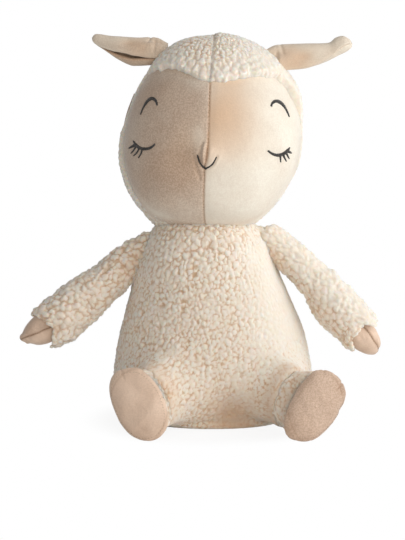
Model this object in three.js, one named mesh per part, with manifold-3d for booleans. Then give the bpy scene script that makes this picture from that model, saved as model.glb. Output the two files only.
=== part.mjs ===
// A seated plush sheep, in millimetres. It faces -Y with +Z up, and its own left side is +X.
// The origin is the centre of the flat seat, at the level of the floor.

import * as THREE from 'three';
import { mergeVertices } from 'three/addons/utils/BufferGeometryUtils.js';
import Module from 'manifold-3d';

const wasm = await Module();
wasm.setup();

// Cloth, seams and gaps
const pileThickness = 4; // fleece, backing and pile together
const velourThickness = 1.6;
const suedeThickness = 1.6;
const threadThickness = 1.1;
const seamGap = 0.3; // between two panels sewn edge to edge
const fitGap = 0.3; // between a skin and the stuffing in it
const swingGap = 0.3; // between a ball and the socket that it turns in
const floorCut = 0.5; // how deep the forms are cut flat where they stand

// Body, a pear with a ball for its top
const bodyHalfWidth = 90;
const bodyHalfDepth = 68;
const bodyHeight = 136; // floor to the centre of the neck ball
const neckBallRadius = 60.7;
const neckLean = -6; // the neck stands this far to the toy's right of the seat
const neckWadRadius = 34;
const neckWadDepth = 46; // below the top of the neck ball
const sideSeamForward = 6;
const seatPanelHeight = 9;

// Bag of pellets in the seat
const pelletHalfWidth = 52;
const pelletHalfDepth = 38;
const pelletHeight = 22;
const pelletBack = 14;

// Head, measured from the centre of the neck ball
const headHalfWidth = 80.5;
const headFrontDepth = 75;
const headBackDepth = 71;
const headTop = 210;
const headTurnDeg = -4;
const headRollDeg = 2.4;
const hoodProud = 2.4; // the fleece hood stands this far above the velour face
const hairlineHeight = 178;
const hairlineDip = 8; // the hood comes this far down the forehead
const hairlineForward = 13; // of the pivot, at the temples
const hairlineBack = 6; // behind the pivot, under the ears
const hairlineRadius = 15;
const muzzleHeight = 107;
const muzzleRise = 5;
const muzzleHalfWidth = 15;
const muzzleHalfHeight = 12;

// Arms, measured from the centre of the shoulder ball
const shoulderHeight = { left: 160, right: 156 };
const shoulderForward = 4;
const armRootRadius = 14.5;
const armRadius = 21;
const armReach = 133;
const cuffReach = 107;
const handRadius = 13.2;
const armholeRadius = 9.5;
const shoulderWadRadius = 7;
const armDropDeg = { left: 43, right: 38 };
const armForwardDeg = { left: 10, right: 11 };
const armBowRise = { left: 3.5, right: 4.5 }; // the middle of the arm is bent up or down by this much
const armBowShare = { left: 1, right: -1 };
const handBendRise = { left: 0, right: 6 }; // the hand's tip is bent up by this much

// Legs, measured from the centre of the hip ball
const hipHeight = 30.5;
const hipSide = { left: 58, right: 46 };
const hipProud = 2; // the hip ball's centre stands this far out of the body
const legRootRadius = 24;
const footHalfWidth = 23.3;
const footHalfHeight = 32.4;
const footCentre = { left: 87, right: 64 };
const footReach = 98; // the sole's centre in front of the seat's centre
const footYawDeg = { left: 15, right: 9 };
const footLeanDeg = 5;
const footTiltDeg = 28;
const soleDepth = 3;
const footBandDepth = 11;
const legHoleRadius = 13;
const hipWadRadius = 9;

// Ears, measured from the centre of the ear's root
const earCrownDrop = 20; // below the head's top
const earRootRadius = 10.5;
const earRootHalfDepth = 8;
const earHalfHeight = 11.8;
const earHalfDepth = 9.5;
const earLength = { left: 69, right: 60 };
const earRiseDeg = { left: 15, right: 10 };
const earLayerThickness = 1.8;
const earFoldForward = 4;
const earFoldDown = 5;
const earOpenReach = 9;

// Tail
const tailHeight = 46;
const tailRootRadius = 7;
const tailRadius = 10;
const tailLength = 27;
const tailDropDeg = 52;

// How far each limb swings, in degrees, which its socket leaves room for
const armLiftDeg = { up: 47, down: 8 };
const armSwingDeg = { up: 20, down: 20 }; // forward and back
const legLiftDeg = { up: 35, down: 20 };
const legSplayDeg = { up: 12, down: 12 }; // out and in
const earFlapDeg = { up: 20, down: 40 };
const tailFlexDeg = { up: 25, down: 25 };
// A limb swells past its ball, so its socket opens this much wider
const armSpareDeg = 8;
const legSpareDeg = 14;
const earSpareDeg = 9;
const tailSpareDeg = 18;

// Embroidery, placed on the face by its height above the pivot and its distance from the seam
const eyeHeight = 115.5;
const eyeSide = { left: 60.5, right: 55.1 };
const eyeHalfWidth = 9.4;
const eyeSag = 6;
const lidWidth = 2.2;
const lashWidth = 1.4;
const lashLength = 6;
const browDrop = 30; // below the hairline
const browSide = { left: 60, right: 52.8 };
const browHalfWidth = 7.4;
const browRise = 8;
const browWidth = 2.4;
const mouthHeight = 107.5;
const mouthHalfWidth = 8.6;
const mouthDrop = 11;
const mouthWidth = 1.8;

// Outlines, as hand-chosen shares
// body: height of bodyHeight, half-width of bodyHalfWidth, half-depth of bodyHalfDepth
const bodyShares = [
  [0, 0.66, 0.66], [0.03, 0.79, 0.79], [0.1, 0.905, 0.9], [0.2, 0.975, 0.97], [0.32, 1, 1],
  [0.45, 0.975, 0.99], [0.58, 0.925, 0.965], [0.71, 0.865, 0.935], [0.86, 0.79, 0.905],
];
// top of the body: height above the neck ball's centre and half-width, both of its radius
const bodyTopShares = [[0.02, 1.06], [0.25, 0.95], [0.5, 0.78]];
// head: height of headTop, half-width, front and back of their own sizes, and lean of the half-width
const headShares = [
  [0.17, 0.45, 0.38, 0.46, -0.06], [0.198, 0.57, 0.52, 0.6, -0.06], [0.243, 0.69, 0.72, 0.72, -0.055],
  [0.29, 0.79, 0.85, 0.82, -0.05], [0.37, 0.905, 0.94, 0.92, -0.035], [0.46, 0.98, 0.985, 0.985, -0.015],
  [0.55, 1, 1, 1, 0], [0.64, 0.98, 0.975, 0.985, 0.01], [0.73, 0.915, 0.905, 0.925, 0.02],
  [0.81, 0.82, 0.8, 0.82, 0.025], [0.88, 0.69, 0.66, 0.68, 0.02], [0.94, 0.51, 0.48, 0.49, 0],
  [0.98, 0.3, 0.28, 0.28, -0.02],
];
// arm: reach of cuffReach, radius of armRadius, bow
const sleeveShares = [
  [0.02, 0.695, 0], [0.2, 0.765, 0.5], [0.4, 0.87, 1], [0.6, 0.96, 0.9], [0.8, 1, 0.7],
  [0.93, 0.93, 0.45], [1, 0.7, 0.35],
];
// hand: share of the way from the cuff to the tip, radius of handRadius, bow
const handShares = [[0.08, 0.97, 0.25], [0.35, 1, 0.15], [0.68, 0.86, 0.05], [0.9, 0.55, 0]];
// leg: share of the way from the hip to the sole, foot size, and drift towards the foot
const legShares = [[0.25, 0.86, 0.2], [0.5, 0.95, 0.55], [0.76, 1, 0.88], [0.92, 0.985, 1], [1, 0.93, 1]];
const soleShares = [[0.55, 0.72], [0.9, 0.4]];
// ear: share of the length, half-height, half-depth and forward curl
const earShares = [
  [0.1, 0.98, 0.95], [0.3, 1, 1], [0.52, 0.93, 0.96], [0.74, 0.74, 0.78], [0.91, 0.47, 0.5],
];
const foreheadShare = 0.8;
const tailShares = [[0.2, 0.86], [0.45, 1], [0.72, 0.86], [0.92, 0.5]];
const pelletCrownShare = 0.35;
// strokes: across and up, of the half-width and the rise or drop of the stroke
const lidShares = [[-1, 0.02], [-0.7, -0.62], [-0.25, -0.93], [0.2, -0.92], [0.65, -0.68], [1, -0.3]];
const lashShares = [[-0.97, 0, 0.95], [-0.82, -0.38, 1.05], [-0.52, -0.72, 1.15], [-0.12, -0.92, 1.1]];
const lashLeanDeg = [50, 30, 24, 11];
const browShares = [[-1, -1.03], [-0.55, -0.2], [-0.05, 0.46], [0.43, 0.82], [0.88, 0.55], [1, 0.12]];
const mouthShares = [
  [-0.86, 0], [-0.66, -0.42], [-0.43, -0.74], [-0.05, -1], [0.4, -0.86], [0.86, -0.48], [1.14, 0],
];
const strokeEndShare = 0.12; // how far into its rounding a stroke begins and ends

// Counts of facets
const bodySides = 20;
const headSides = 24;
const limbSides = 14;
const ballRings = 3;
const earSides = 10;
const ballSides = 24;
const wadSides = 8;
const strokeSteps = 6;

// How square the rings of a form are: 2 is an ellipse
const bodyFullness = 2.15;
const headFullness = 2.2;

const reachAll = 4 * headTop; // longer than the toy, for cuts that pass right through

// Colours and finish of each cloth
const looks = {
  fleece: { color: 0xe9dfcf, roughness: 0.95, metalness: 0 },
  velour: { color: 0xdccdb6, roughness: 0.85, metalness: 0 },
  suede: { color: 0xbfa389, roughness: 0.8, metalness: 0 },
  thread: { color: 0x3a3633, roughness: 0.6, metalness: 0 },
  stuffing: { color: 0xf4f2ee, roughness: 1, metalness: 0 },
  pellets: { color: 0xcfc9bf, roughness: 0.7, metalness: 0 },
};

const sides = { left: 1, right: -1 };
const radians = THREE.MathUtils.degToRad;
const vector = (x, y, z) => new THREE.Vector3(x, y, z);

// Solids and cuts

// The closed geometry as a solid, with its shared corners merged.
function solid(geometry) {
  const bare = geometry.clone();
  bare.deleteAttribute('normal');
  bare.deleteAttribute('uv');
  const merged = mergeVertices(bare);
  const corners = merged.index.array;
  const kept = [];
  for (let i = 0; i < corners.length; i += 3) {
    const [a, b, c] = corners.slice(i, i + 3);
    if (a !== b && b !== c && c !== a) kept.push(a, b, c);
  }
  return new wasm.Manifold(new wasm.Mesh({
    numProp: 3,
    vertProperties: merged.attributes.position.array,
    triVerts: new Uint32Array(kept),
  }));
}

// A named mesh of the solid, with a material of its own.
function piece(name, body, look, parent) {
  const { vertProperties, triVerts } = body.getMesh();
  const geometry = new THREE.BufferGeometry();
  geometry.setAttribute('position', new THREE.BufferAttribute(vertProperties, 3));
  geometry.setIndex(new THREE.BufferAttribute(triVerts, 1));
  geometry.computeVertexNormals();
  const mesh = new THREE.Mesh(geometry, new THREE.MeshStandardMaterial(look));
  mesh.name = name;
  parent.add(mesh);
}

const cutAll = (body, cutters) => cutters.reduce((rest, cutter) => rest.subtract(cutter), body);
const joinAll = (bodies) => bodies.reduce((whole, body) => whole.add(body));

// A box between two corners.
function block(low, high) {
  const box = new THREE.BoxGeometry(high.x - low.x, high.y - low.y, high.z - low.z);
  box.translate((low.x + high.x) / 2, (low.y + high.y) / 2, (low.z + high.z) / 2);
  return box;
}

// Everything on one side of a plane square to an axis, as a very large box.
function beyond(axis, at, sign = 1) {
  const low = vector(-reachAll, -reachAll, -reachAll);
  const high = vector(reachAll, reachAll, reachAll);
  if (sign > 0) low[axis] = at;
  else high[axis] = at;
  return solid(block(low, high));
}

function ball(radius, segments, centre = vector(0, 0, 0)) {
  const sphere = new THREE.SphereGeometry(radius, segments, segments / 2);
  sphere.translate(centre.x, centre.y, centre.z);
  return sphere;
}

// A round bar along Z between two heights.
function bar(radius, from, to, segments) {
  const cylinder = new THREE.CylinderGeometry(radius, radius, to - from, segments);
  cylinder.rotateX(Math.PI / 2);
  cylinder.translate(0, 0, (from + to) / 2);
  return cylinder;
}

// Stuffed forms

// One ring of a form: its height on the form's axis and its reach to each side of its centre.
const ring = (z, width, depth, more = {}) => ({
  z, plusX: width, minusX: width, plusY: depth, minusY: depth, x: 0, y: 0, turn: 0, ...more,
});
const meanReach = (row) => (row.plusX + row.minusX + row.plusY + row.minusY) / 4;

// The rings moved square to the form's outline. The first and last row are its poles.
function growRows(rows, grow) {
  const last = rows.length - 1;
  return rows.map((row, i) => {
    if (i === 0) return { ...row, z: row.z - grow };
    if (i === last) return { ...row, z: row.z + grow };
    const rise = rows[i + 1].z - rows[i - 1].z;
    const spread = meanReach(rows[i + 1]) - meanReach(rows[i - 1]);
    const length = Math.hypot(rise, spread);
    const out = (grow * rise) / length;
    return {
      ...row,
      z: row.z - (grow * spread) / length,
      plusX: row.plusX + out,
      minusX: row.minusX + out,
      plusY: row.plusY + out,
      minusY: row.minusY + out,
    };
  });
}

// A closed form through the rings, with a pole at each end. A fullness over 2 squares its rings.
function form(rows, grow, segments, fullness = 2, shift = () => 0) {
  const grown = growRows(rows, grow);
  const positions = [];
  const index = [];
  const power = 2 / fullness;
  for (const row of grown.slice(1, -1)) {
    for (let i = 0; i < segments; i += 1) {
      const angle = (2 * Math.PI * i) / segments;
      const across = Math.sign(Math.cos(angle)) * Math.abs(Math.cos(angle)) ** power;
      const along = Math.sign(Math.sin(angle)) * Math.abs(Math.sin(angle)) ** power;
      const x = across * (across > 0 ? row.plusX : row.minusX);
      const y = along * (along > 0 ? row.plusY : row.minusY);
      const turned = vector(x, y, 0).applyAxisAngle(vector(0, 0, 1), row.turn);
      positions.push(turned.x + row.x, turned.y + row.y + shift(x, y, row.z), row.z);
    }
  }
  const ringCount = grown.length - 2;
  const poles = [grown[0], grown[grown.length - 1]];
  for (const pole of poles) positions.push(pole.x, pole.y, pole.z);
  const foot = ringCount * segments;
  for (let i = 0; i < segments; i += 1) {
    const next = (i + 1) % segments;
    index.push(foot, next, i);
    const top = (ringCount - 1) * segments;
    index.push(foot + 1, top + i, top + next);
    for (let k = 0; k < ringCount - 1; k += 1) {
      const a = k * segments + i;
      const b = k * segments + next;
      index.push(a, b, b + segments, a, b + segments, a + segments);
    }
  }
  const geometry = new THREE.BufferGeometry();
  geometry.setAttribute('position', new THREE.Float32BufferAttribute(positions, 3));
  geometry.setIndex(index);
  return geometry;
}

// Rows of a ball's lower half, from its pole up to just short of its widest ring.
function ballRows(radius, depth = radius) {
  return Array.from({ length: ballRings }, (_, i) => {
    const angle = (Math.PI / 2) * (i / ballRings);
    return ring(-radius * Math.cos(angle), radius * Math.sin(angle), depth * Math.sin(angle));
  });
}

// A faceted ball's flats lie inside its corners by this share of its radius.
const flatShare = (segments) => Math.cos(Math.PI / segments) ** 2;

// The room that a limb's ball and its swing take: a ball with a cone that opens along +Z.
function socket(radius, swingDeg, reach) {
  const swing = radians(swingDeg);
  const step = (Math.PI / 2 - swing) / ballRings;
  const room = (radius + swingGap) / (Math.cos(Math.PI / limbSides) * Math.cos(step / 2));
  const outline = [];
  for (let i = 0; i <= ballRings; i += 1) {
    outline.push(new THREE.Vector2(room * Math.sin(i * step), -room * Math.cos(i * step)));
  }
  const end = outline[outline.length - 1];
  const top = end.y + reach * Math.cos(swing);
  outline.push(new THREE.Vector2(end.x + reach * Math.sin(swing), top));
  outline.push(new THREE.Vector2(0, top));
  outline[0].x = 0;
  const lathe = new THREE.LatheGeometry(outline, limbSides);
  lathe.rotateX(Math.PI / 2);
  return lathe;
}

// A group at a place, with its Z along a direction and its Y as near upright as that allows.
function limbGroup(place, direction, upright) {
  const z = direction.clone().normalize();
  const x = new THREE.Vector3().crossVectors(upright, z).normalize();
  const y = new THREE.Vector3().crossVectors(z, x);
  const group = new THREE.Group();
  group.quaternion.setFromRotationMatrix(new THREE.Matrix4().makeBasis(x, y, z));
  group.position.copy(place);
  return group;
}

// The geometry of one group as another group sees it.
function seenFrom(geometry, from, to) {
  from.updateWorldMatrix(true, false);
  to.updateWorldMatrix(true, false);
  const matrix = to.matrixWorld.clone().invert().multiply(from.matrixWorld);
  return solid(geometry.clone().applyMatrix4(matrix));
}

// Body

function bodyRows() {
  const lower = bodyShares.map(([height, width, depth]) => ring(
    height * bodyHeight - floorCut * (1 - height),
    width * bodyHalfWidth,
    depth * bodyHalfDepth,
    { x: neckLean * height ** 4 },
  ));
  const upper = bodyTopShares.map(([rise, reach]) => ring(
    bodyHeight + rise * neckBallRadius,
    reach * neckBallRadius,
    Math.min(reach, 1) * neckBallRadius,
    { x: neckLean },
  ));
  const top = upper[upper.length - 1];
  return [ring(-floorCut, 0, 0), ...lower, ...upper, ring(top.z, 0, 0, { x: neckLean })];
}

const neckPivot = vector(neckLean, 0, bodyHeight);

// The body's outline, grown or shrunk.
function bodyForm(grow) {
  const pear = solid(form(bodyRows(), grow, bodySides, bodyFullness));
  const top = solid(ball(neckBallRadius + grow, ballSides, neckPivot));
  return pear.add(top);
}

// The body's ring at a height, between the two rings beside it.
function bodyRingAt(height) {
  const rows = bodyRows();
  const above = rows.findIndex((row, i) => i > 0 && row.z >= height);
  const share = (height - rows[above - 1].z) / (rows[above].z - rows[above - 1].z);
  const mix = (key) => THREE.MathUtils.lerp(rows[above - 1][key], rows[above][key], share);
  return { x: mix('x'), width: mix('plusX'), depth: mix('plusY') };
}

// How far the body stands forward of its centre, this far to one side.
function bodyDepthAt(height, side) {
  const { x, width, depth } = bodyRingAt(height);
  return depth * Math.sqrt(1 - ((side - x) / width) ** 2);
}

function shoulderPivot(name) {
  const height = shoulderHeight[name];
  const rise = height - bodyHeight;
  const reach = Math.sqrt(neckBallRadius ** 2 - rise ** 2 - shoulderForward ** 2);
  return vector(neckLean + sides[name] * (reach - swingGap), -shoulderForward, height);
}

// Direction of an arm, lifted or lowered from the rest pose by some degrees.
function armDirection(name, liftDeg = 0) {
  const drop = radians(armDropDeg[name] - liftDeg);
  const forward = radians(armForwardDeg[name]);
  const level = Math.cos(drop);
  return vector(
    sides[name] * level * Math.cos(forward),
    -level * Math.sin(forward),
    -Math.sin(drop),
  );
}

function hipPivot(name) {
  const side = sides[name] * hipSide[name];
  return vector(side, -bodyDepthAt(hipHeight, side) - hipProud, hipHeight);
}

function soleDirection(name, liftDeg = 0) {
  const lean = radians(footLeanDeg + liftDeg);
  const yaw = radians(footYawDeg[name]);
  return vector(
    sides[name] * Math.sin(yaw) * Math.cos(lean),
    -Math.cos(yaw) * Math.cos(lean),
    Math.sin(lean),
  );
}

const tailPivot = () => vector(0, bodyDepthAt(tailHeight, 0), tailHeight);

function tailDirection(liftDeg = 0) {
  const drop = radians(tailDropDeg - liftDeg);
  return vector(0, Math.cos(drop), -Math.sin(drop));
}

// Half of a swing's range, alone or together with one across it, and the lift at its middle.
const halfSwing = ({ up, down }) => (up + down) / 2;
const jointSwing = (lift, across) => Math.hypot(halfSwing(lift), halfSwing(across));
const middleLift = ({ up, down }) => (up - down) / 2;

// The sockets for arms, legs and tail, which every part of the body gives room to.
function bodySockets(body) {
  const upright = vector(0, 0, 1);
  const place = (pivot, direction, radius, swing) => {
    const frame = limbGroup(pivot, direction, upright);
    return seenFrom(socket(radius, swing, bodyHalfWidth), frame, body);
  };
  const tail = tailDirection(middleLift(tailFlexDeg));
  const tailSwing = tailSpareDeg + halfSwing(tailFlexDeg);
  const found = [place(tailPivot(), tail, tailRootRadius, tailSwing)];
  for (const name of Object.keys(sides)) {
    const arm = armDirection(name, middleLift(armLiftDeg));
    const leg = soleDirection(name, middleLift(legLiftDeg));
    const armSwing = armSpareDeg + jointSwing(armLiftDeg, armSwingDeg);
    const legSwing = legSpareDeg + jointSwing(legLiftDeg, legSplayDeg);
    found.push(place(shoulderPivot(name), arm, armRootRadius, armSwing));
    found.push(place(hipPivot(name), leg, legRootRadius, legSwing));
  }
  return found;
}

function pelletForm(grow) {
  const bag = new THREE.SphereGeometry(1, 2 * wadSides, wadSides);
  bag.rotateX(Math.PI / 2);
  bag.scale(pelletHalfWidth + grow, pelletHalfDepth + grow, pelletHeight + grow);
  bag.translate(0, pelletBack, pelletHeight * pelletCrownShare);
  return solid(bag);
}

function addBody(toy) {
  const body = new THREE.Group();
  toy.add(body);
  const sockets = bodySockets(body);
  const wadTop = bodyHeight + neckBallRadius;
  const neckBar = (radius, from) => solid(bar(radius, from, reachAll, limbSides).translate(neckLean, 0, 0));
  const turnRoom = (neckWadRadius + fitGap) / Math.cos(Math.PI / limbSides);
  const wadHole = neckBar(turnRoom, wadTop - neckWadDepth - fitGap);
  const outer = bodyForm(0).intersect(beyond('z', 0));
  const inner = bodyForm(-pileThickness);
  const skin = cutAll(outer.subtract(inner), [wadHole, ...sockets]);
  const wall = skin.intersect(beyond('z', seatPanelHeight + seamGap));
  const front = wall.intersect(beyond('y', -sideSeamForward - seamGap / 2, -1));
  const back = wall.intersect(beyond('y', -sideSeamForward + seamGap / 2));
  piece('body_front_panel', front, looks.fleece, body);
  piece('body_back_panel_left', back.intersect(beyond('x', seamGap / 2)), looks.fleece, body);
  piece('body_back_panel_right', back.intersect(beyond('x', -seamGap / 2, -1)), looks.fleece, body);
  piece('seat_panel', skin.intersect(beyond('z', seatPanelHeight, -1)), looks.fleece, body);

  const filling = bodyForm(-pileThickness - fitGap);
  const seatLevel = beyond('z', pileThickness + fitGap);
  const pellets = pelletForm(0).intersect(bodyForm(-pileThickness - 2 * fitGap)).intersect(seatLevel);
  const stuffing = cutAll(filling, [wadHole, pelletForm(fitGap), ...sockets]).intersect(seatLevel);
  piece('body_stuffing', stuffing, looks.stuffing, body);
  piece('pellet_bag', pellets, looks.pellets, body);

  const wadBar = neckBar(neckWadRadius, wadTop - neckWadDepth);
  const wad = wadBar.intersect(solid(ball(neckBallRadius, ballSides, neckPivot)));
  piece('neck_wad', wad, looks.stuffing, body);
}

// Head

function headRows() {
  const rows = headShares.map(([height, width, front, back, lean]) => ({
    ...ring(height * headTop, width * headHalfWidth, back * headBackDepth),
    minusY: front * headFrontDepth,
    x: lean * headHalfWidth,
  }));
  const crown = rows[rows.length - 1];
  return [ring(rows[0].z, 0, 0, { x: rows[0].x }), ...rows, ring(headTop, 0, 0, { x: crown.x })];
}

// The muzzle's rise over the face, as a soft mound pushed forward.
function muzzle(x, y, z) {
  if (y > 0) return 0;
  const mound = (x / muzzleHalfWidth) ** 2 + ((z - muzzleHeight) / muzzleHalfHeight) ** 2;
  return -muzzleRise * Math.exp(-mound);
}

function headForm(grow) {
  return solid(form(headRows(), grow, headSides, headFullness, muzzle));
}

// The head's half-width at a height above the pivot.
function headSideAt(height) {
  const rows = headRows();
  const above = rows.findIndex((row, i) => i > 0 && row.z >= height);
  const share = (height - rows[above - 1].z) / (rows[above].z - rows[above - 1].z);
  return THREE.MathUtils.lerp(rows[above - 1].plusX, rows[above].plusX, share);
}

// The part of the head that the face covers: in front of the hood's edge and under it.
function faceRegion(grow) {
  const top = hairlineHeight + grow;
  const front = -hairlineForward + grow;
  const back = hairlineBack + grow;
  const outline = new THREE.Shape();
  outline.moveTo(-reachAll, top - hairlineDip);
  outline.lineTo(-headFrontDepth * foreheadShare, top - hairlineDip);
  outline.lineTo(front - 2 * hairlineRadius, top);
  outline.lineTo(front - hairlineRadius, top);
  outline.quadraticCurveTo(front, top, front, top - hairlineRadius);
  outline.lineTo(back, 0);
  outline.lineTo(-reachAll, 0);
  const region = new THREE.ExtrudeGeometry(outline, {
    depth: 2 * reachAll, bevelEnabled: false, curveSegments: ballRings,
  });
  region.translate(0, 0, -reachAll);
  region.applyMatrix4(new THREE.Matrix4().makeBasis(vector(0, 1, 0), vector(0, 0, 1), vector(1, 0, 0)));
  return solid(region);
}

function earPivot(name) {
  const height = headTop - earCrownDrop;
  return vector(sides[name] * headSideAt(height), 0, height);
}

function earDirection(name, liftDeg = 0) {
  const rise = radians(earRiseDeg[name] + liftDeg);
  return vector(sides[name] * Math.cos(rise), 0, Math.sin(rise));
}

function earSockets(head) {
  return Object.keys(sides).map((name) => {
    const direction = earDirection(name, middleLift(earFlapDeg));
    const frame = limbGroup(earPivot(name), direction, vector(0, 1, 0));
    head.add(frame);
    const swing = earSpareDeg + halfSwing(earFlapDeg);
    const room = seenFrom(socket(earRootRadius, swing, headHalfWidth), frame, head);
    head.remove(frame);
    return room;
  });
}

// A flat stroke with tapered ends, drawn through points across and up the face.
function stroke(points, width) {
  const curve = new THREE.SplineCurve(points);
  const upper = [];
  const lower = [];
  for (let i = 0; i <= strokeSteps; i += 1) {
    const share = i / strokeSteps;
    const at = curve.getPoint(share);
    const along = curve.getTangent(share);
    const rounding = THREE.MathUtils.lerp(strokeEndShare, 1 - strokeEndShare, share);
    const half = (width / 2) * Math.sqrt(Math.sin(Math.PI * rounding));
    upper.push(new THREE.Vector2(at.x - along.y * half, at.y + along.x * half));
    lower.push(new THREE.Vector2(at.x + along.y * half, at.y - along.x * half));
  }
  const prism = new THREE.ExtrudeGeometry(new THREE.Shape([...lower, ...upper.reverse()]), {
    depth: reachAll, bevelEnabled: false,
  });
  prism.applyMatrix4(new THREE.Matrix4().makeBasis(vector(1, 0, 0), vector(0, 0, 1), vector(0, -1, 0)));
  return solid(prism);
}

function eyeStrokes(name) {
  const at = (across, up) => new THREE.Vector2(
    sides[name] * (eyeSide[name] - across * eyeHalfWidth),
    eyeHeight + up * eyeSag,
  );
  const lid = stroke(lidShares.map(([across, up]) => at(across, up)), lidWidth);
  const lashes = lashShares.map(([across, up, length], i) => {
    const root = at(across, up);
    const lean = radians(lashLeanDeg[i]);
    const reach = length * lashLength;
    const tip = new THREE.Vector2(
      root.x + sides[name] * reach * Math.sin(lean),
      root.y - reach * Math.cos(lean),
    );
    const middle = root.clone().add(tip).divideScalar(2);
    return stroke([root, middle, tip], lashWidth);
  });
  return joinAll([lid, ...lashes]);
}

function browStroke(name) {
  const points = browShares.map(([across, up]) => new THREE.Vector2(
    sides[name] * (browSide[name] - across * browHalfWidth),
    hairlineHeight - browDrop + up * browRise,
  ));
  return stroke(points, browWidth);
}

function mouthStroke() {
  const points = mouthShares.map(([across, up]) => new THREE.Vector2(
    across * mouthHalfWidth,
    mouthHeight + up * mouthDrop,
  ));
  return stroke(points, mouthWidth);
}

function addEar(head, name) {
  const ear = limbGroup(earPivot(name), earDirection(name), vector(0, 1, 0));
  head.add(ear);
  const length = earLength[name];
  const rings = earShares.map(([at, height, depth]) => ring(
    at * length, height * earHalfHeight, depth * earHalfDepth,
  ));
  const rows = [...ballRows(earRootRadius, earRootHalfDepth), ...rings, ring(length, 0, 0)];
  const fold = { x: sides[name] * earFoldDown, y: -earFoldForward };
  const hollowRows = [
    ring(earOpenReach, 0, 0, fold),
    ...rings.slice(1).map((row) => ({ ...row, ...fold })),
    ring(length, 0, 0, fold),
  ];
  const leaf = solid(form(rows, 0, earSides));
  const pocket = solid(form(hollowRows, -earLayerThickness, earSides));
  const hollow = solid(form(hollowRows, -2 * earLayerThickness, earSides));
  const lining = pocket.subtract(hollow).intersect(leaf);
  const room = solid(form(hollowRows, fitGap - earLayerThickness, earSides));
  piece(`ear_${name}_outer`, leaf.subtract(room), looks.velour, ear);
  piece(`ear_${name}_lining`, lining, looks.velour, ear);
}

function addHead(toy) {
  const head = new THREE.Group();
  head.position.copy(neckPivot);
  head.rotation.set(0, radians(headRollDeg), radians(headTurnDeg), 'ZYX');
  toy.add(head);
  const cup = solid(ball((neckBallRadius + swingGap) / flatShare(ballSides), ballSides));
  const cutters = [cup, ...earSockets(head)];
  const bare = headForm(-velourThickness);
  const face = cutAll(headForm(0).subtract(bare).intersect(faceRegion(-seamGap)), cutters);
  const hood = cutAll(headForm(hoodProud).subtract(bare).subtract(faceRegion(0)), cutters);
  const halves = { left: beyond('x', seamGap / 2), right: beyond('x', -seamGap / 2, -1) };
  for (const name of Object.keys(sides)) {
    piece(`face_panel_${name}`, face.intersect(halves[name]), looks.velour, head);
    piece(`hood_panel_${name}`, hood.intersect(halves[name]), looks.fleece, head);
  }
  const stuffing = cutAll(headForm(-velourThickness - fitGap), cutters);
  piece('head_stuffing', stuffing, looks.stuffing, head);

  const threadLayer = headForm(fitGap + threadThickness).subtract(headForm(fitGap));
  for (const name of Object.keys(sides)) {
    piece(`eye_${name}`, threadLayer.intersect(eyeStrokes(name)), looks.thread, head);
    piece(`brow_${name}`, threadLayer.intersect(browStroke(name)), looks.thread, head);
    addEar(head, name);
  }
  piece('mouth', threadLayer.intersect(mouthStroke()), looks.thread, head);
}

// Arms

function armRows(name) {
  const bow = armBowRise[name] * armBowShare[name];
  const sleeve = sleeveShares.map(([at, reach, curve]) => ring(
    at * cuffReach, reach * armRadius, reach * armRadius, { y: curve * bow },
  ));
  const bend = handBendRise[name];
  const hand = handShares.map(([at, reach, curve]) => ring(
    cuffReach + at * (armReach - cuffReach), reach * handRadius, reach * handRadius,
    { y: curve * bow + at * bend },
  ));
  return [...ballRows(armRootRadius), ...sleeve, ...hand, ring(armReach, 0, 0, { y: bend })];
}

function addArm(toy, name) {
  const arm = limbGroup(shoulderPivot(name), armDirection(name), vector(0, 0, 1));
  toy.add(arm);
  const rows = armRows(name);
  const whole = solid(form(rows, 0, limbSides));
  const sleeveRoom = solid(form(rows, -pileThickness, limbSides));
  const handRoom = solid(form(rows, -suedeThickness, limbSides));
  const armhole = solid(bar(armholeRadius, -armReach, 0, limbSides));
  const sleeve = whole.subtract(sleeveRoom).subtract(armhole).intersect(beyond('z', cuffReach, -1));
  piece(`sleeve_${name}`, sleeve, looks.fleece, arm);

  const hand = whole.subtract(handRoom).intersect(beyond('z', cuffReach + seamGap));
  const split = armBowRise[name] * armBowShare[name] * handShares[1][2];
  piece(`hand_upper_${name}`, hand.intersect(beyond('y', split + seamGap / 2)), looks.suede, arm);
  piece(`hand_lower_${name}`, hand.intersect(beyond('y', split - seamGap / 2, -1)), looks.suede, arm);

  const wad = solid(ball(shoulderWadRadius, wadSides));
  const wadRoom = solid(ball((shoulderWadRadius + fitGap) / flatShare(limbSides), limbSides));
  const way = solid(bar(shoulderWadRadius / 2, -armReach, 0, wadSides));
  const inner = solid(form(rows, -pileThickness - fitGap, limbSides));
  piece(`arm_stuffing_${name}`, cutAll(inner, [wadRoom, way]), looks.stuffing, arm);
  piece(`shoulder_wad_${name}`, wad, looks.stuffing, arm);
}

// Legs

function legRows(name, foot) {
  const turn = -sides[name] * radians(footTiltDeg);
  const rows = legShares.map(([at, size, drift]) => ring(
    at * foot.z, size * footHalfWidth, size * footHalfHeight,
    { x: drift * foot.x, y: drift * foot.y, turn: drift * turn },
  ));
  const dome = soleShares.map(([rise, size]) => ring(
    foot.z + rise * soleDepth, size * footHalfWidth, size * footHalfHeight,
    { x: foot.x, y: foot.y, turn },
  ));
  const tip = ring(foot.z + soleDepth, 0, 0, { x: foot.x, y: foot.y });
  return [...ballRows(legRootRadius), ring(0, legRootRadius, legRootRadius), ...rows, ...dome, tip];
}

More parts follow.
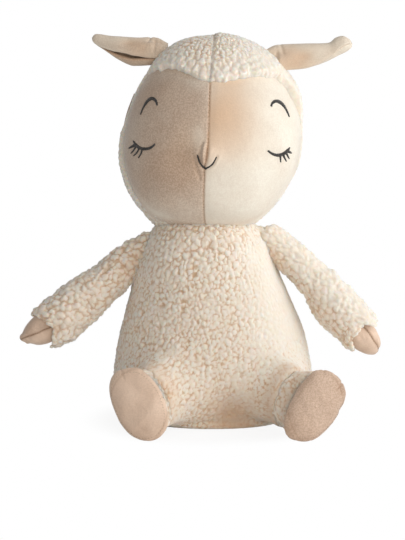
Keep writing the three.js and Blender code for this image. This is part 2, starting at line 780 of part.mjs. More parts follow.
function addLeg(toy, name) {
  const hip = hipPivot(name);
  const leg = limbGroup(hip, soleDirection(name), vector(0, 0, 1));
  toy.add(leg);
  leg.updateWorldMatrix(true, false);
  const footHeight = Math.hypot(
    footHalfHeight * Math.cos(radians(footTiltDeg)),
    footHalfWidth * Math.sin(radians(footTiltDeg)),
  );
  const foot = leg.worldToLocal(vector(sides[name] * footCentre[name], -footReach, footHeight - floorCut));
  const rows = legRows(name, foot);
  const floor = seenFrom(block(
    vector(-reachAll, -reachAll, 0),
    vector(reachAll, reachAll, reachAll),
  ), toy, leg);
  const whole = solid(form(rows, 0, limbSides)).intersect(floor);
  const legRoom = solid(form(rows, -pileThickness, limbSides));
  const footRoom = solid(form(rows, -suedeThickness, limbSides));
  const legHole = solid(bar(legHoleRadius, -footReach, 0, limbSides));
  const bandEnd = foot.z - soleDepth;
  const bandStart = bandEnd - footBandDepth;
  const skin = whole.subtract(legRoom).subtract(legHole);
  const shoe = whole.subtract(footRoom);
  piece(`leg_${name}`, skin.intersect(beyond('z', bandStart, -1)), looks.fleece, leg);
  const band = shoe.intersect(beyond('z', bandStart + seamGap)).intersect(beyond('z', bandEnd, -1));
  piece(`foot_band_${name}`, band, looks.suede, leg);
  piece(`sole_${name}`, shoe.intersect(beyond('z', bandEnd + seamGap)), looks.suede, leg);

  const wadRoom = solid(ball((hipWadRadius + fitGap) / flatShare(limbSides), limbSides));
  const way = solid(bar(hipWadRadius / 2, -footReach, 0, wadSides));
  const inner = solid(form(rows, -pileThickness - fitGap, limbSides));
  piece(`leg_stuffing_${name}`, cutAll(inner, [wadRoom, way]), looks.stuffing, leg);
  piece(`hip_wad_${name}`, solid(ball(hipWadRadius, wadSides)), looks.stuffing, leg);
}

// Tail

function addTail(toy) {
  const tail = limbGroup(tailPivot(), tailDirection(), vector(0, 0, 1));
  toy.add(tail);
  const rows = [
    ...ballRows(tailRootRadius),
    ...tailShares.map(([at, reach]) => ring(at * tailLength, reach * tailRadius, reach * tailRadius)),
    ring(tailLength, 0, 0),
  ];
  piece('tail', solid(form(rows, 0, wadSides)), looks.fleece, tail);
}

const sheep = new THREE.Group();
addBody(sheep);
addHead(sheep);
for (const name of Object.keys(sides)) {
  addArm(sheep, name);
  addLeg(sheep, name);
}
addTail(sheep);

export default sheep;
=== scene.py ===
# Looks of the seated plush sheep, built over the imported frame.
# Shapes are worked out in millimetres and written to Blender in metres.

import math

import bpy
import numpy as np
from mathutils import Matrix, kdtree


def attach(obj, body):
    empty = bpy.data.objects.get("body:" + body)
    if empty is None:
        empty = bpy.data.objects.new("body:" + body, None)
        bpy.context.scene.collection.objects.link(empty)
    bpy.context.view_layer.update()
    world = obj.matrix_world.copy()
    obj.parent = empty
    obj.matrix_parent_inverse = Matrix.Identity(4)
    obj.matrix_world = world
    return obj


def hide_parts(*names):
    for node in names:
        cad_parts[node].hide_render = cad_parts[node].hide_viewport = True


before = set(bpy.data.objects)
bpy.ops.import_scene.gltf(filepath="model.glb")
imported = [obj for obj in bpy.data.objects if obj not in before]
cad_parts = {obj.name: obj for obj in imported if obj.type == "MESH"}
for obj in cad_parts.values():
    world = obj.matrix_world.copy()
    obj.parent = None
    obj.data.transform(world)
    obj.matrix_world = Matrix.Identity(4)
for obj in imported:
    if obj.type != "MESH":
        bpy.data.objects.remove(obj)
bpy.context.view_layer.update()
scene = bpy.context.scene
MM = 0.001

# Sizes that the frame's solids have too
NECK = np.array([-6.0, 0.0, 136.0])
NECK_RADIUS = 60.7
BODY = (90.0, 68.0, 136.0)
HEAD = (80.5, 75.0, 71.0, 210.0)
HEAD_TURN, HEAD_ROLL = -4.0, 2.4
SIDES = {"left": 1, "right": -1}
SHOULDER = {"left": (49.11, -4.0, 160.0), "right": (-62.671, -4.0, 156.0)}
ARM_DROP = {"left": 43.0, "right": 38.0}
ARM_FORWARD = {"left": 10.0, "right": 11.0}
ARM_BOW = {"left": 3.5, "right": -4.5}
HIP = {"left": (58.0, -52.05, 30.5), "right": (-46.0, -58.696, 30.5)}
FOOT_YAW = {"left": 15.0, "right": 9.0}
FOOT_LEAN = 5.0
FOOT_TILT = 28.0
FOOT_CENTRE = {"left": (87.0, -98.0, 30.13), "right": (-64.0, -98.0, 30.13)}
FOOT_SIZE = (23.3, 32.4)
EAR_RISE = {"left": 15.0, "right": 10.0}
EAR_SIDE, EAR_HEIGHT = 54.5, 190.0
TAIL = (0.0, 67.892, 46.0)
TAIL_DROP = 52.0

UP = np.array([0.0, 0.0, 1.0])
WORLD = np.eye(4)


# Small tools for points

def unit(v):
    """Vectors made one long."""
    v = np.asarray(v, float)
    return v / np.maximum(np.linalg.norm(v, axis=-1, keepdims=True), 1e-12)


def place(origin, forward, upright=UP):
    """A frame whose Z runs forward and whose Y is near upright."""
    z = unit(forward)
    x = unit(np.cross(upright, z))
    m = np.eye(4)
    m[:3, 0], m[:3, 1], m[:3, 2], m[:3, 3] = x, np.cross(z, x), z, origin
    return m


def placed(origin):
    """An upright frame at a point."""
    m = np.eye(4)
    m[:3, 3] = origin
    return m


def moved(m, p):
    """Points taken out of a frame."""
    return p @ m[:3, :3].T + m[:3, 3]


def unmoved(m, p):
    """Points taken into a frame."""
    return (p - m[:3, 3]) @ m[:3, :3]


def limb_direction(side, drop, forward):
    """The way an arm points, from how far it drops and comes forward in degrees."""
    d, f = math.radians(drop), math.radians(forward)
    return np.array([side * math.cos(d) * math.cos(f), -math.cos(d) * math.sin(f), -math.sin(d)])


def head_frame():
    """The head's frame, turned and tilted on the neck."""
    t, r = math.radians(HEAD_TURN), math.radians(HEAD_ROLL)
    turn = np.array([[math.cos(t), -math.sin(t), 0], [math.sin(t), math.cos(t), 0], [0, 0, 1]])
    roll = np.array([[math.cos(r), 0, math.sin(r)], [0, 1, 0], [-math.sin(r), 0, math.cos(r)]])
    m = np.eye(4)
    m[:3, :3], m[:3, 3] = turn @ roll, NECK
    return m


def step(x, low, high):
    """A smooth rise from 0 to 1 between two values."""
    t = np.clip((x - low) / (high - low), 0, 1)
    return t * t * (3 - 2 * t)


def near(x, width):
    """A smooth bump: 1 at zero and little past its width."""
    return np.exp(-(np.asarray(x) / width) ** 2)


def spot(x, z, x0, z0, wide, tall):
    """A smooth round bump at a place across and up the toy."""
    return near(x - x0, wide) * near(z - z0, tall)


def soft_min(a, b, k):
    """The lesser of two distances, rounded over k where they meet."""
    h = np.maximum(k - np.abs(a - b), 0) / k
    return np.minimum(a, b) - h * h * k / 4


def spline(table, count):
    """Rows of a table joined by a smooth curve and read at even steps along it."""
    a = np.asarray(table, float)
    t = np.r_[0, np.cumsum(np.maximum(np.linalg.norm(np.diff(a, axis=0), axis=1), 1e-6))]
    slope = np.empty_like(a)
    slope[1:-1] = (a[2:] - a[:-2]) / (t[2:] - t[:-2])[:, None]
    slope[0], slope[-1] = (a[1] - a[0]) / (t[1] - t[0]), (a[-1] - a[-2]) / (t[-1] - t[-2])
    s = np.linspace(t[0], t[-1], count)
    i = np.clip(np.searchsorted(t, s, side="right") - 1, 0, len(t) - 2)
    h = (t[i + 1] - t[i])[:, None]
    u = ((s - t[i]) / (t[i + 1] - t[i]))[:, None]
    return ((2 * u**3 - 3 * u**2 + 1) * a[i] + (u**3 - 2 * u**2 + u) * h * slope[i]
            + (3 * u**2 - 2 * u**3) * a[i + 1] + (u**3 - u**2) * h * slope[i + 1])


def ring_values(table, angle):
    """A closed table of (degrees, value) read smoothly at angles in radians."""
    a = np.array(sorted((math.radians(d % 360), v) for d, v in table))
    t = np.r_[a[:, 0] - 2 * np.pi, a[:, 0], a[:, 0] + 2 * np.pi]
    v = np.tile(a[:, 1], 3)
    wide = np.linspace(0, 2 * np.pi, 720, endpoint=False)
    line = np.interp(wide, t, v)
    kernel = near(np.arange(-24, 25), 12)
    line = np.convolve(np.r_[line[-24:], line, line[:24]], kernel / kernel.sum(), mode="valid")
    return np.interp(angle % (2 * np.pi), np.r_[wide, 2 * np.pi], np.r_[line, line[0]])


LATTICE = np.random.default_rng(11).random((32, 32, 32))
ASKEW = np.array([[0.36, 0.48, -0.8], [-0.8, 0.6, 0.0], [0.48, 0.64, 0.6]])


def noise(p, size, seed=0):
    """Smooth noise from -1 to 1 at points in millimetres, with lumps of about that size."""
    q = p @ ASKEW / size + 17.3 * seed + 100
    i = np.floor(q).astype(int)
    f = q - i
    f = f * f * (3 - 2 * f)
    out = 0
    for dx in (0, 1):
        for dy in (0, 1):
            for dz in (0, 1):
                w = ((f[..., 0] if dx else 1 - f[..., 0]) * (f[..., 1] if dy else 1 - f[..., 1])
                     * (f[..., 2] if dz else 1 - f[..., 2]))
                out = out + w * LATTICE[(i[..., 0] + dx) % 32, (i[..., 1] + dy) % 32, (i[..., 2] + dz) % 32]
    return 2 * out - 1


# Lofted skins: grids of points whose rows climb an axis and whose columns run round it

def disc(z, radius, y=0.0):
    """A round row of a skin."""
    return (z, radius, radius, radius, 0, y, 0)


def skin(rows, count, around, squareness=2.0, dense=0.0, reach=None):
    """A grid through smoothed rows of (z, half-width, front, back, centre x, centre y, turn)."""
    r = spline(rows, count)
    r[:, 1:4] = np.maximum(r[:, 1:4], 0)
    t = np.linspace(0, 2 * np.pi, around, endpoint=False)
    angle = t - dense * np.sin(t) - np.pi / 2
    power = 2 / squareness
    ca, sa = np.round(np.cos(angle), 12), np.round(np.sin(angle), 12)
    across = np.sign(ca) * np.abs(ca) ** power
    along = np.sign(sa) * np.abs(sa) ** power
    if reach is not None:
        across, along = across * reach(angle, r[:, :1]), along * reach(angle, r[:, :1])
    x = across * r[:, 1:2]
    y = along * np.where(along < 0, r[:, 2:3], r[:, 3:4])
    c, s = np.cos(r[:, 6:7]), np.sin(r[:, 6:7])
    return np.stack([x * c - y * s + r[:, 4:5], x * s + y * c + r[:, 5:6],
                     np.broadcast_to(r[:, 0:1], x.shape)], axis=-1)


def normals(p):
    """The way out of a grid of points at each of them."""
    up = np.gradient(p, axis=0)
    side = np.roll(p, -1, axis=1) - np.roll(p, 1, axis=1)
    n = np.cross(side, up)
    n[0], n[-1] = n[1].mean(axis=0), n[-2].mean(axis=0)
    return unit(n)


def grid_faces(p):
    """Quads of a grid, with each row that has shrunk to a point used as one corner."""
    rows, around = p.shape[:2]
    index = np.arange(rows * around).reshape(rows, around)
    for k in (0, rows - 1):
        if np.ptp(p[k], axis=0).max() < 1e-6:
            index[k] = index[k, 0]
    nxt = np.roll(index, -1, axis=1)
    return np.stack([index[:-1], nxt[:-1], nxt[1:], index[1:]], axis=-1).reshape(-1, 4)


def linked(name, data):
    """A new object of the scene that shows some data."""
    obj = bpy.data.objects.new(name, data)
    scene.collection.objects.link(obj)
    return obj


def mesh_object(name, points, faces):
    """A mesh object from points in metres."""
    data = bpy.data.meshes.new(name)
    data.from_pydata(points, [], faces)
    return linked(name, data)


def add_piece(name, points, faces, fields, material, body, node=None):
    """A smooth mesh from points in millimetres that rides on a body and may stand for a node."""
    points = points.reshape(-1, 3)
    used = np.unique(np.concatenate([np.ravel(f) for f in faces]) if isinstance(faces, list) else faces)
    back = np.full(len(points), -1)
    back[used] = np.arange(len(used))
    if isinstance(faces, list):
        faces = [[int(back[k]) for k in f] for f in faces]
    else:
        faces = [list(dict.fromkeys(f)) for f in back[faces].tolist()]
    obj = mesh_object(name, (points[used] * MM).tolist(), faces)
    data = obj.data
    for key, value in (fields or {}).items():
        layer = data.attributes.new(key, "FLOAT", "POINT")
        layer.data.foreach_set("value", np.asarray(value, np.float32).ravel()[used])
    data.polygons.foreach_set("use_smooth", np.ones(len(data.polygons), bool))
    data.update()
    data.materials.append(material)
    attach(obj, body)
    if node:
        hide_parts(node)
    return obj


def tubes(paths, sides=6):
    """Points and faces of many thin closed tubes, each a path of points with its radii."""
    verts, faces, base = [], [], 0
    turn = np.linspace(0, 2 * np.pi, sides, endpoint=False)
    for path, radius in paths:
        path = np.asarray(path, float)
        radius = np.broadcast_to(radius, len(path))
        t = unit(np.gradient(path, axis=0))
        ref = np.where(np.abs(t[:, 2:3]) < 0.9, [[0.0, 0, 1]], [[1.0, 0, 0]])
        a = unit(np.cross(t, ref))
        b = np.cross(t, a)
        ring = (np.cos(turn)[None, :, None] * a[:, None] + np.sin(turn)[None, :, None] * b[:, None])
        verts.append((path[:, None] + ring * radius[:, None, None]).reshape(-1, 3))
        for k in range(len(path) - 1):
            for j in range(sides):
                m = (j + 1) % sides
                low, high = base + k * sides, base + (k + 1) * sides
                faces.append([low + j, low + m, high + m, high + j])
        faces.append([base + j for j in range(sides)][::-1])
        faces.append([base + (len(path) - 1) * sides + j for j in range(sides)])
        base += len(path) * sides
    return np.concatenate(verts), faces


def stitches(line, out, pitch, length, radius, rise=0.15, slant=0.0):
    """Short thread ends along a seam line, each dipping in at both ends."""
    line, out = np.asarray(line), np.asarray(out)
    t = np.r_[0, np.cumsum(np.linalg.norm(np.diff(line, axis=0), axis=1))]
    rng = np.random.default_rng(int(t[-1] * 10))
    paths = []
    for s in np.arange(pitch, t[-1] - length, pitch):
        s = s + rng.normal() * 0.06 * pitch
        at = np.linspace(s, s + length, 5)
        p = np.stack([np.interp(at, t, line[:, k]) for k in range(3)], axis=-1)
        n = unit(np.stack([np.interp(at, t, out[:, k]) for k in range(3)], axis=-1))
        across = unit(np.cross(n, np.gradient(p, axis=0)))
        lift = rise * np.array([-1.6, 0.6, 1, 0.6, -1.6])
        lean = slant * np.linspace(-1, 1, 5)
        paths.append((p + n * lift[:, None] + across * lean[:, None], radius * np.array([.7, 1, 1, 1, .7])))
    return paths


# Cloth: a skin is filled like a cushion while its seams hold it

CLOTH_FRAMES = 20
CLOTH_MASS = 0.3


def blown(points, faces, hold, spare):
    """Points in millimetres after a short cloth simulation under pressure."""
    faces = [list(dict.fromkeys(f)) for f in faces.tolist()]
    obj = mesh_object("cushion", (points * MM).tolist(), faces)
    data = obj.data
    group = obj.vertex_groups.new(name="hold")
    for i, share in enumerate(hold.tolist()):
        group.add([i], share, "REPLACE")
    cloth = obj.modifiers.new("Cloth", "CLOTH")
    settings = cloth.settings
    settings.quality = 5
    settings.mass = CLOTH_MASS
    settings.tension_stiffness = settings.compression_stiffness = 8
    settings.shear_stiffness = 4
    settings.bending_stiffness = 0.2
    settings.shrink_min = -spare
    settings.use_pressure = True
    settings.uniform_pressure_force = 4
    settings.vertex_group_mass = "hold"
    settings.effector_weights.gravity = 0
    cloth.point_cache.frame_start, cloth.point_cache.frame_end = 1, CLOTH_FRAMES
    for at in range(1, CLOTH_FRAMES + 1):
        scene.frame_set(at)
    done = obj.evaluated_get(bpy.context.evaluated_depsgraph_get()).data
    found = np.empty(3 * len(points))
    done.vertices.foreach_get("co", found)
    bpy.data.objects.remove(obj)
    bpy.data.meshes.remove(data)
    scene.frame_set(1)
    return found.reshape(-1, 3) / MM


def puffed(p, hold, cap, rows_by, cols_by, spare=0.06):
    """A skin with the folds and swells that filling gives it between the places that are held."""
    rows = np.unique(np.r_[0:p.shape[0]:rows_by, p.shape[0] - 1])
    small, held = p[rows][:, ::cols_by], hold[rows][:, ::cols_by]
    after = blown(small.reshape(-1, 3), grid_faces(small), held.ravel(), spare).reshape(small.shape)
    move = after - small
    move[0], move[-1] = move[1].mean(axis=0), move[-2].mean(axis=0)
    n = normals(small)
    out = np.einsum("ijk,ijk->ij", move, n)
    for _ in range(10):
        out = soften(out)
    move -= n * (0.85 * out)[..., None]
    move *= (np.minimum(1, cap / np.maximum(np.linalg.norm(move, axis=-1), 1e-9)) * (1 - held))[..., None]
    at = np.interp(np.arange(p.shape[0]), rows, np.arange(len(rows)))
    i = np.minimum(at.astype(int), len(rows) - 2)
    f = (at - i)[:, None, None]
    tall = move[i] * (1 - f) + move[i + 1] * f
    column = np.arange(p.shape[1]) / cols_by
    j = column.astype(int)
    g = (column - j)[None, :, None]
    return p + tall[:, j] * (1 - g) + tall[:, (j + 1) % tall.shape[1]] * g


# Fleece

def nubs(p, n, size, seed):
    """Height and tone, both from 0 to 1, of the fleece's nubs at points on a skin."""
    rng = np.random.default_rng(seed)
    count = len(p)
    wide = np.broadcast_to(size, count).tolist()
    size = float(np.mean(size))
    points = p.tolist()
    tree = kdtree.KDTree(count)
    for i, q in enumerate(points):
        tree.insert(q, i)
    tree.balance()
    free = np.ones(count, bool)
    seeds = []
    for i in rng.permutation(count).tolist():
        if free[i]:
            seeds.append(i)
            for _, j, _ in tree.find_range(points[i], wide[i] * (0.46 + 0.56 * rng.random())):
                free[j] = False
    seeds = np.array(seeds)
    small = kdtree.KDTree(len(seeds))
    for i, q in enumerate(p[seeds].tolist()):
        small.insert(q, i)
    small.balance()
    warped = p + size * np.stack([0.36 * noise(p, 0.8 * size, s + seed) + 0.17 * noise(p, 0.35 * size, s)
                                  for s in (1, 2, 3)], axis=-1)
    found = np.array([[j for _, j, _ in small.find_n(q, 6)] for q in warped.tolist()])
    along = unit(np.cross(n[seeds], unit(rng.normal(size=(len(seeds), 3)))))
    stretch = (1.0 + 0.45 * rng.random(len(seeds)))[found]
    gap = warped[:, None, :] - p[seeds][found]
    lengthwise = np.einsum("ijk,ijk->ij", gap, along[found]) ** 2
    total = np.einsum("ijk,ijk->ij", gap, gap)
    far = np.sqrt(np.maximum(total - lengthwise, 0) * stretch + lengthwise / stretch)
    order = np.sort(far, axis=1)
    edge = np.clip(1.3 * (order[:, 1] - order[:, 0]) / (order[:, 1] + order[:, 0] + 1e-9), 0, 1)
    own = found[np.arange(count), far.argmin(axis=1)]
    tone = rng.random(len(seeds))[own]
    curls = np.clip(1.9 * np.abs(noise(p, 2.4, seed)), 0, 1) ** 0.7
    corner = np.clip(1 - 1.1 * (order[:, 2] - order[:, 0]) / (order[:, 2] + order[:, 0] + 1e-9), 0, 1) ** 2
    split = np.clip(0.82 + 0.5 * noise(p, 4.5, seed + 4), 0.5, 1) * (1 - edge) ** 2.5
    return np.clip(1 - split - 0.3 * corner, 0, 1) * (0.58 + 0.22 * tone + 0.2 * curls), tone


def soften(grid):
    """A grid of values blurred a little both ways."""
    rows = np.pad(grid, ((1, 1), (0, 0)), mode="edge")
    grid = (rows[:-2] + 2 * rows[1:-1] + rows[2:]) / 4
    return (np.roll(grid, 1, axis=1) + 2 * grid + np.roll(grid, -1, axis=1)) / 4


def fleece(p, n, size, depth, seed, calm=0.0, pale=0.0, lean=None, needed=None):
    """Points moved out to the fleece's nubs, and the fields that its material reads."""
    shape = p.shape[:2]
    needed = np.ones(shape, bool) if needed is None else needed
    size = np.broadcast_to(size, shape)
    pile, tone = np.zeros(shape), np.zeros(shape)
    pile[needed], tone[needed] = nubs(p[needed], n[needed], size[needed], seed)
    keep = 1 - np.maximum(np.broadcast_to(calm, shape), 0.4 * np.broadcast_to(pale, shape))
    curl = 0.1 * noise(p, 1.7, 5) + 0.3 * noise(p, 13, 6)
    height = soften(pile)
    raised = p + n * (depth * (np.asarray(size) / 5) ** 0.7 * keep * height * (1 + curl))[..., None]
    if lean is not None:
        raised += lean * height[..., None]
    # pale evens the pile and tone fields towards the nub tops: painted light where the lamps fall full on the
    # fleece.
    return raised, {"pile": pile + (0.8 - pile) * pale, "tone": tone + (0.8 - tone) * pale}


# Materials

class Nodes:
    """The node tree of a material or world, with short calls for the nodes that cloth needs."""

    def __init__(self, owner, **surface):
        owner.use_nodes = True
        self.owner, self.tree = owner, owner.node_tree
        self.shader = self.tree.nodes.get("Principled BSDF")
        for key, value in surface.items():
            self.shader.inputs[key.replace("_", " ")].default_value = value

    def add(self, kind, props=None, **inputs):
        node = self.tree.nodes.new("ShaderNode" + kind)
        for key, value in (props or {}).items():
            setattr(node, key, value)
        for key, value in inputs.items():
            target = node.inputs[int(key[1:]) if key[0] == "_" else key.replace("_", " ")]
            if isinstance(value, bpy.types.NodeSocket):
                self.tree.links.new(value, target)
            else:
                target.default_value = value
        return node

    def field(self, name):
        return self.add("Attribute", {"attribute_name": name}).outputs["Fac"]

    def place(self):
        return self.add("TexCoord").outputs["Object"]

    def noise(self, scale, detail=3.0, rough=0.55, warp=0.0, where=None):
        node = self.add("TexNoise", Vector=where or self.place(), Scale=scale, Detail=detail,
                        Roughness=rough, Distortion=warp)
        return node.outputs["Fac"]

    def span(self, value, low, high, to_low=0.0, to_high=1.0):
        node = self.add("MapRange", {"interpolation_type": "SMOOTHSTEP"}, Value=value)
        for key, number in (("From Min", low), ("From Max", high), ("To Min", to_low), ("To Max", to_high)):
            node.inputs[key].default_value = number
        return node.outputs["Result"]

    def ramp(self, value, stops):
        node = self.add("ValToRGB", Fac=value)
        line = node.color_ramp
        line.elements[0].position, line.elements[0].color = stops[0][0], (*stops[0][1], 1)
        line.elements[1].position, line.elements[1].color = stops[-1][0], (*stops[-1][1], 1)
        for at, colour in stops[1:-1]:
            line.elements.new(at).color = (*colour, 1)
        return node.outputs["Color"]

    def mix(self, share, a, b, blend="MIX"):
        node = self.add("Mix", {"data_type": "RGBA", "blend_type": blend})
        for target, value in ((node.inputs[0], share), (node.inputs[6], a), (node.inputs[7], b)):
            if isinstance(value, bpy.types.NodeSocket):
                self.tree.links.new(value, target)
            else:
                target.default_value = (*value, 1) if isinstance(value, tuple) else value
        return node.outputs[2]

    def math(self, operation, a, b):
        return self.add("Math", {"operation": operation}, _0=a, _1=b).outputs[0]

    def bump(self, height, strength, distance, under=None):
        more = {"Normal": under} if under else {}
        return self.add("Bump", Height=height, Strength=strength, Distance=distance, **more).outputs[0]

    def seen(self):
        """1 where the camera, a mirror or glass looks, and 0 for the light itself."""
        path = self.add("LightPath").outputs
        bounced = self.math("MAXIMUM", path["Is Glossy Ray"], path["Is Transmission Ray"])
        return self.math("MAXIMUM", path["Is Camera Ray"], bounced)

    def finish(self, colour, normal, rough=None):
        for key, value in (("Base Color", colour), ("Normal", normal), ("Roughness", rough)):
            if value is not None:
                self.tree.links.new(value, self.shader.inputs[key])
        return self.owner


def cloth_nodes(name, **surface):
    """The nodes of a new material."""
    return Nodes(bpy.data.materials.new(name), **surface)


def fleece_material():
    """Curly pile with painted shade: light on the nub tops, and painted darker and warmer in the crevices and
    where the warm field lies.
    """
    m = cloth_nodes("sherpa_fleece", Roughness=0.95, Sheen_Weight=0.25, Sheen_Roughness=0.6,
                    Specular_IOR_Level=0.1, Subsurface_Weight=0.85, Subsurface_Scale=0.004,
                    Subsurface_Radius=(1.0, 0.75, 0.55))
    pile = m.field("pile")
    curls = m.noise(420, 4, 0.6, 0.6)
    # The pile ramp paints shade into the crevices between nubs: low pile is tan, the nub tops cream.
    worn_and_painted_shade = m.math("ADD", pile, m.span(curls, 0.3, 0.7, -0.16, 0.16))
    base = m.ramp(worn_and_painted_shade, [(0.0, (0.64, 0.45, 0.30)), (0.2, (0.74, 0.59, 0.45)),
                         (0.42, (0.82, 0.745, 0.645)), (1.0, (0.835, 0.80, 0.73))])
    warm = m.mix(m.span(m.field("tone"), 0.0, 0.5, 0.25, 0.0), base, (0.79, 0.68, 0.57))
    patches = m.span(m.noise(38, 2), 0.35, 0.68, 0.0, 0.2)
    aged = m.mix(patches, warm, (0.79, 0.70, 0.60))
    # The warm field paints shade in this tan colour in recesses, at joins, along seams and on undersides.
    colour = m.mix(m.field("warm"), aged, (0.66, 0.47, 0.33))
    fibres = m.bump(m.noise(1500, 3, 0.7, 1.2), 0.45, 0.0004, m.bump(curls, 0.5, 0.001))
    return m.finish(colour, fibres)


def velour_material(name, lit, deep, warm):
    """Short pile mixed from a lit and a shaded copy of its colour by the painted shade field and random nap
    patches, with a warm tint, flecks and blotches.
    """
    m = cloth_nodes(name, Roughness=0.86, Sheen_Weight=0.55, Sheen_Roughness=0.35, Specular_IOR_Level=0.15)
    nap_and_painted_shade = m.span(m.noise(42, 4, 0.62, 0.35), 0.3, 0.72)
    # The painted shade field picks the deep, shaded copy of the colour; the noise adds random nap patches.
    shade_and_nap_share = m.math("ADD", m.math("MULTIPLY", nap_and_painted_shade, 0.16), m.field("nap_and_painted_shade"))
    # The tone field tints towards warm: random tone, and painted shade in seams, dents and under edges.
    toned = m.mix(m.field("tone"), m.mix(shade_and_nap_share, lit, deep), warm)
    pile = m.noise(760, 2, 0.7)
    fleck = m.span(pile, 0.38, 0.60, 0.0, 0.6)
    fleck = m.math("MULTIPLY", fleck, m.span(shade_and_nap_share, 0.0, 0.9, 0.2, 1.0))
    blotch = m.span(m.noise(300, 3, 0.7), 0.35, 0.7, 0.0, 0.3)
    blotch = m.math("MULTIPLY", blotch, m.span(shade_and_nap_share, 0.0, 0.9, 0.4, 1.0))
    colour = m.mix(fleck, m.mix(blotch, toned, deep), (0.66, 0.60, 0.55), "MULTIPLY")
    brushed = m.bump(m.noise(260, 4, 0.65, 0.5), 0.15, 0.0008, m.bump(pile, 0.5, 0.0005))
    return m.finish(colour, brushed, m.span(nap_and_painted_shade, 0.0, 1.0, 0.92, 0.8))


def thread_material(name, colour, worn_and_painted_shade):
    """Twisted thread of two near tones."""
    m = cloth_nodes(name, Roughness=0.6, Sheen_Weight=0.2, Specular_IOR_Level=0.35)
    twist = m.add("TexWave", {"bands_direction": "DIAGONAL"}, Vector=m.place(), Scale=650.0,
                  Distortion=1.5).outputs["Fac"]
    tone = m.mix(m.span(m.noise(600, 2), 0.4, 0.8), colour, worn_and_painted_shade)
    return m.finish(tone, m.bump(twist, 0.35, 0.0002))


def fibre_material():
    """Loose white filling."""
    m = cloth_nodes("fibre_fill", Roughness=1.0, Sheen_Weight=0.3)
    tangle = m.noise(320, 5, 0.7, 3.0)
    return m.finish(m.ramp(tangle, [(0.3, (0.72, 0.70, 0.66)), (0.7, (0.88, 0.87, 0.84))]),
                    m.bump(tangle, 0.8, 0.002))


FLEECE = fleece_material()
# Each velour has a lit and a deep colour: lit and shaded copies, chosen by the painted shade field.
FACE = velour_material("face_velour", lit=(0.87, 0.83, 0.735), deep=(0.60, 0.46, 0.36),
                       warm=(0.71, 0.50, 0.34))
EAR = velour_material("ear_velour", lit=(0.82, 0.75, 0.64), deep=(0.64, 0.54, 0.44), warm=(0.70, 0.50, 0.35))
SUEDE = velour_material("hoof_suede", lit=(0.84, 0.655, 0.52), deep=(0.59, 0.445, 0.35),
                        warm=(0.42, 0.27, 0.18))
FLOSS = thread_material("charcoal_floss", (0.030, 0.028, 0.027), (0.075, 0.068, 0.062))
SEWING = thread_material("beige_thread", (0.42, 0.31, 0.21), (0.60, 0.48, 0.36))
DARK_SEWING = thread_material("brown_thread", (0.13, 0.085, 0.055), (0.24, 0.17, 0.12))
FIBRE = fibre_material()


# Body: a pear under a neck ball, with its front pulled in between the legs

def body_rows():
    """Rows of the body, with a ball for the neck on top."""
    width, depth, height = BODY
    shares = [(0.0, 0.66, 0.66), (0.03, 0.79, 0.79), (0.1, 0.905, 0.9), (0.2, 0.975, 0.97),
              (0.32, 1, 1), (0.45, 0.975, 0.99), (0.58, 0.925, 0.965), (0.71, 0.865, 0.935),
              (0.86, 0.79, 0.905)]
    rows = [disc(0, 0), (0, 0.4 * width, 0.4 * depth, 0.4 * depth, 0, 0, 0)]
    lean = NECK[0]
    rows += [(h * height, w * width, d * depth, d * depth, lean * h**4, 0, 0) for h, w, d in shares]
    rows.append((height + 1.2, 64.4, 61.2, 61.2, lean, 0, 0))
    for angle in (14, 24, 36, 48, 60, 72, 82, 90):
        a = math.radians(angle)
        reach = NECK_RADIUS * math.cos(a) if angle < 90 else 0
        rows.append((height + NECK_RADIUS * math.sin(a), reach, reach, reach, lean, 0, 0))
    return rows


# How square the body is from above, where an oval has 2
SQUARENESS = 2.15
SIDE_SEAM_Y, SEAT_SEAM_Z = -6, 9
# How far the belly is pulled in between the legs, how low its filling reaches, and the gap to the floor
TUCK_DEPTH = 11
FILLING_FLOOR = 5
FLOOR_GAP = 0.15
BODY_LINE = spline(body_rows(), 500)
BODY_LINE = BODY_LINE[np.r_[True, np.diff(BODY_LINE[:, 0]) > 1e-6] & (BODY_LINE[:, 1] > 1)]
ARM = {k: place(SHOULDER[k], limb_direction(s, ARM_DROP[k], ARM_FORWARD[k])) for k, s in SIDES.items()}


def leg_frame(name):
    """A leg's frame: its origin at the hip, its Z towards the sole."""
    lean, yaw = math.radians(FOOT_LEAN), math.radians(FOOT_YAW[name])
    way = (SIDES[name] * math.sin(yaw) * math.cos(lean), -math.cos(yaw) * math.cos(lean), math.sin(lean))
    return place(HIP[name], way)


LEG = {k: leg_frame(k) for k in SIDES}
FOOT = {k: unmoved(LEG[k], np.array(FOOT_CENTRE[k])) for k in SIDES}


HIP_RADIUS = 24
# A leg on its way to the sole: share of the way, of the sole's size and of its drift
LEG_SHAPE = np.array([(0, 1, 0), (0.25, 0.86, 0.2), (0.5, 0.94, 0.55), (0.76, 0.96, 0.88), (0.92, 0.92, 1)])


def leg_rows(name, grow=0.0):
    """Rows of a leg, from the ball of its hip to short of its sole."""
    foot, turn = FOOT[name], -SIDES[name] * math.radians(FOOT_TILT)
    ball = HIP_RADIUS + grow
    rows = [disc(-ball, 0)]
    for angle in (-60, -30, 0):
        a = math.radians(angle)
        rows.append(disc(ball * math.sin(a), ball * math.cos(a)))
    for at, size, drift in LEG_SHAPE[1:]:
        w, h = size * FOOT_SIZE[0] + grow, size * FOOT_SIZE[1] + grow
        rows.append((at * foot[2], w, h, h, drift * foot[0], drift * foot[1], drift * turn))
    return rows


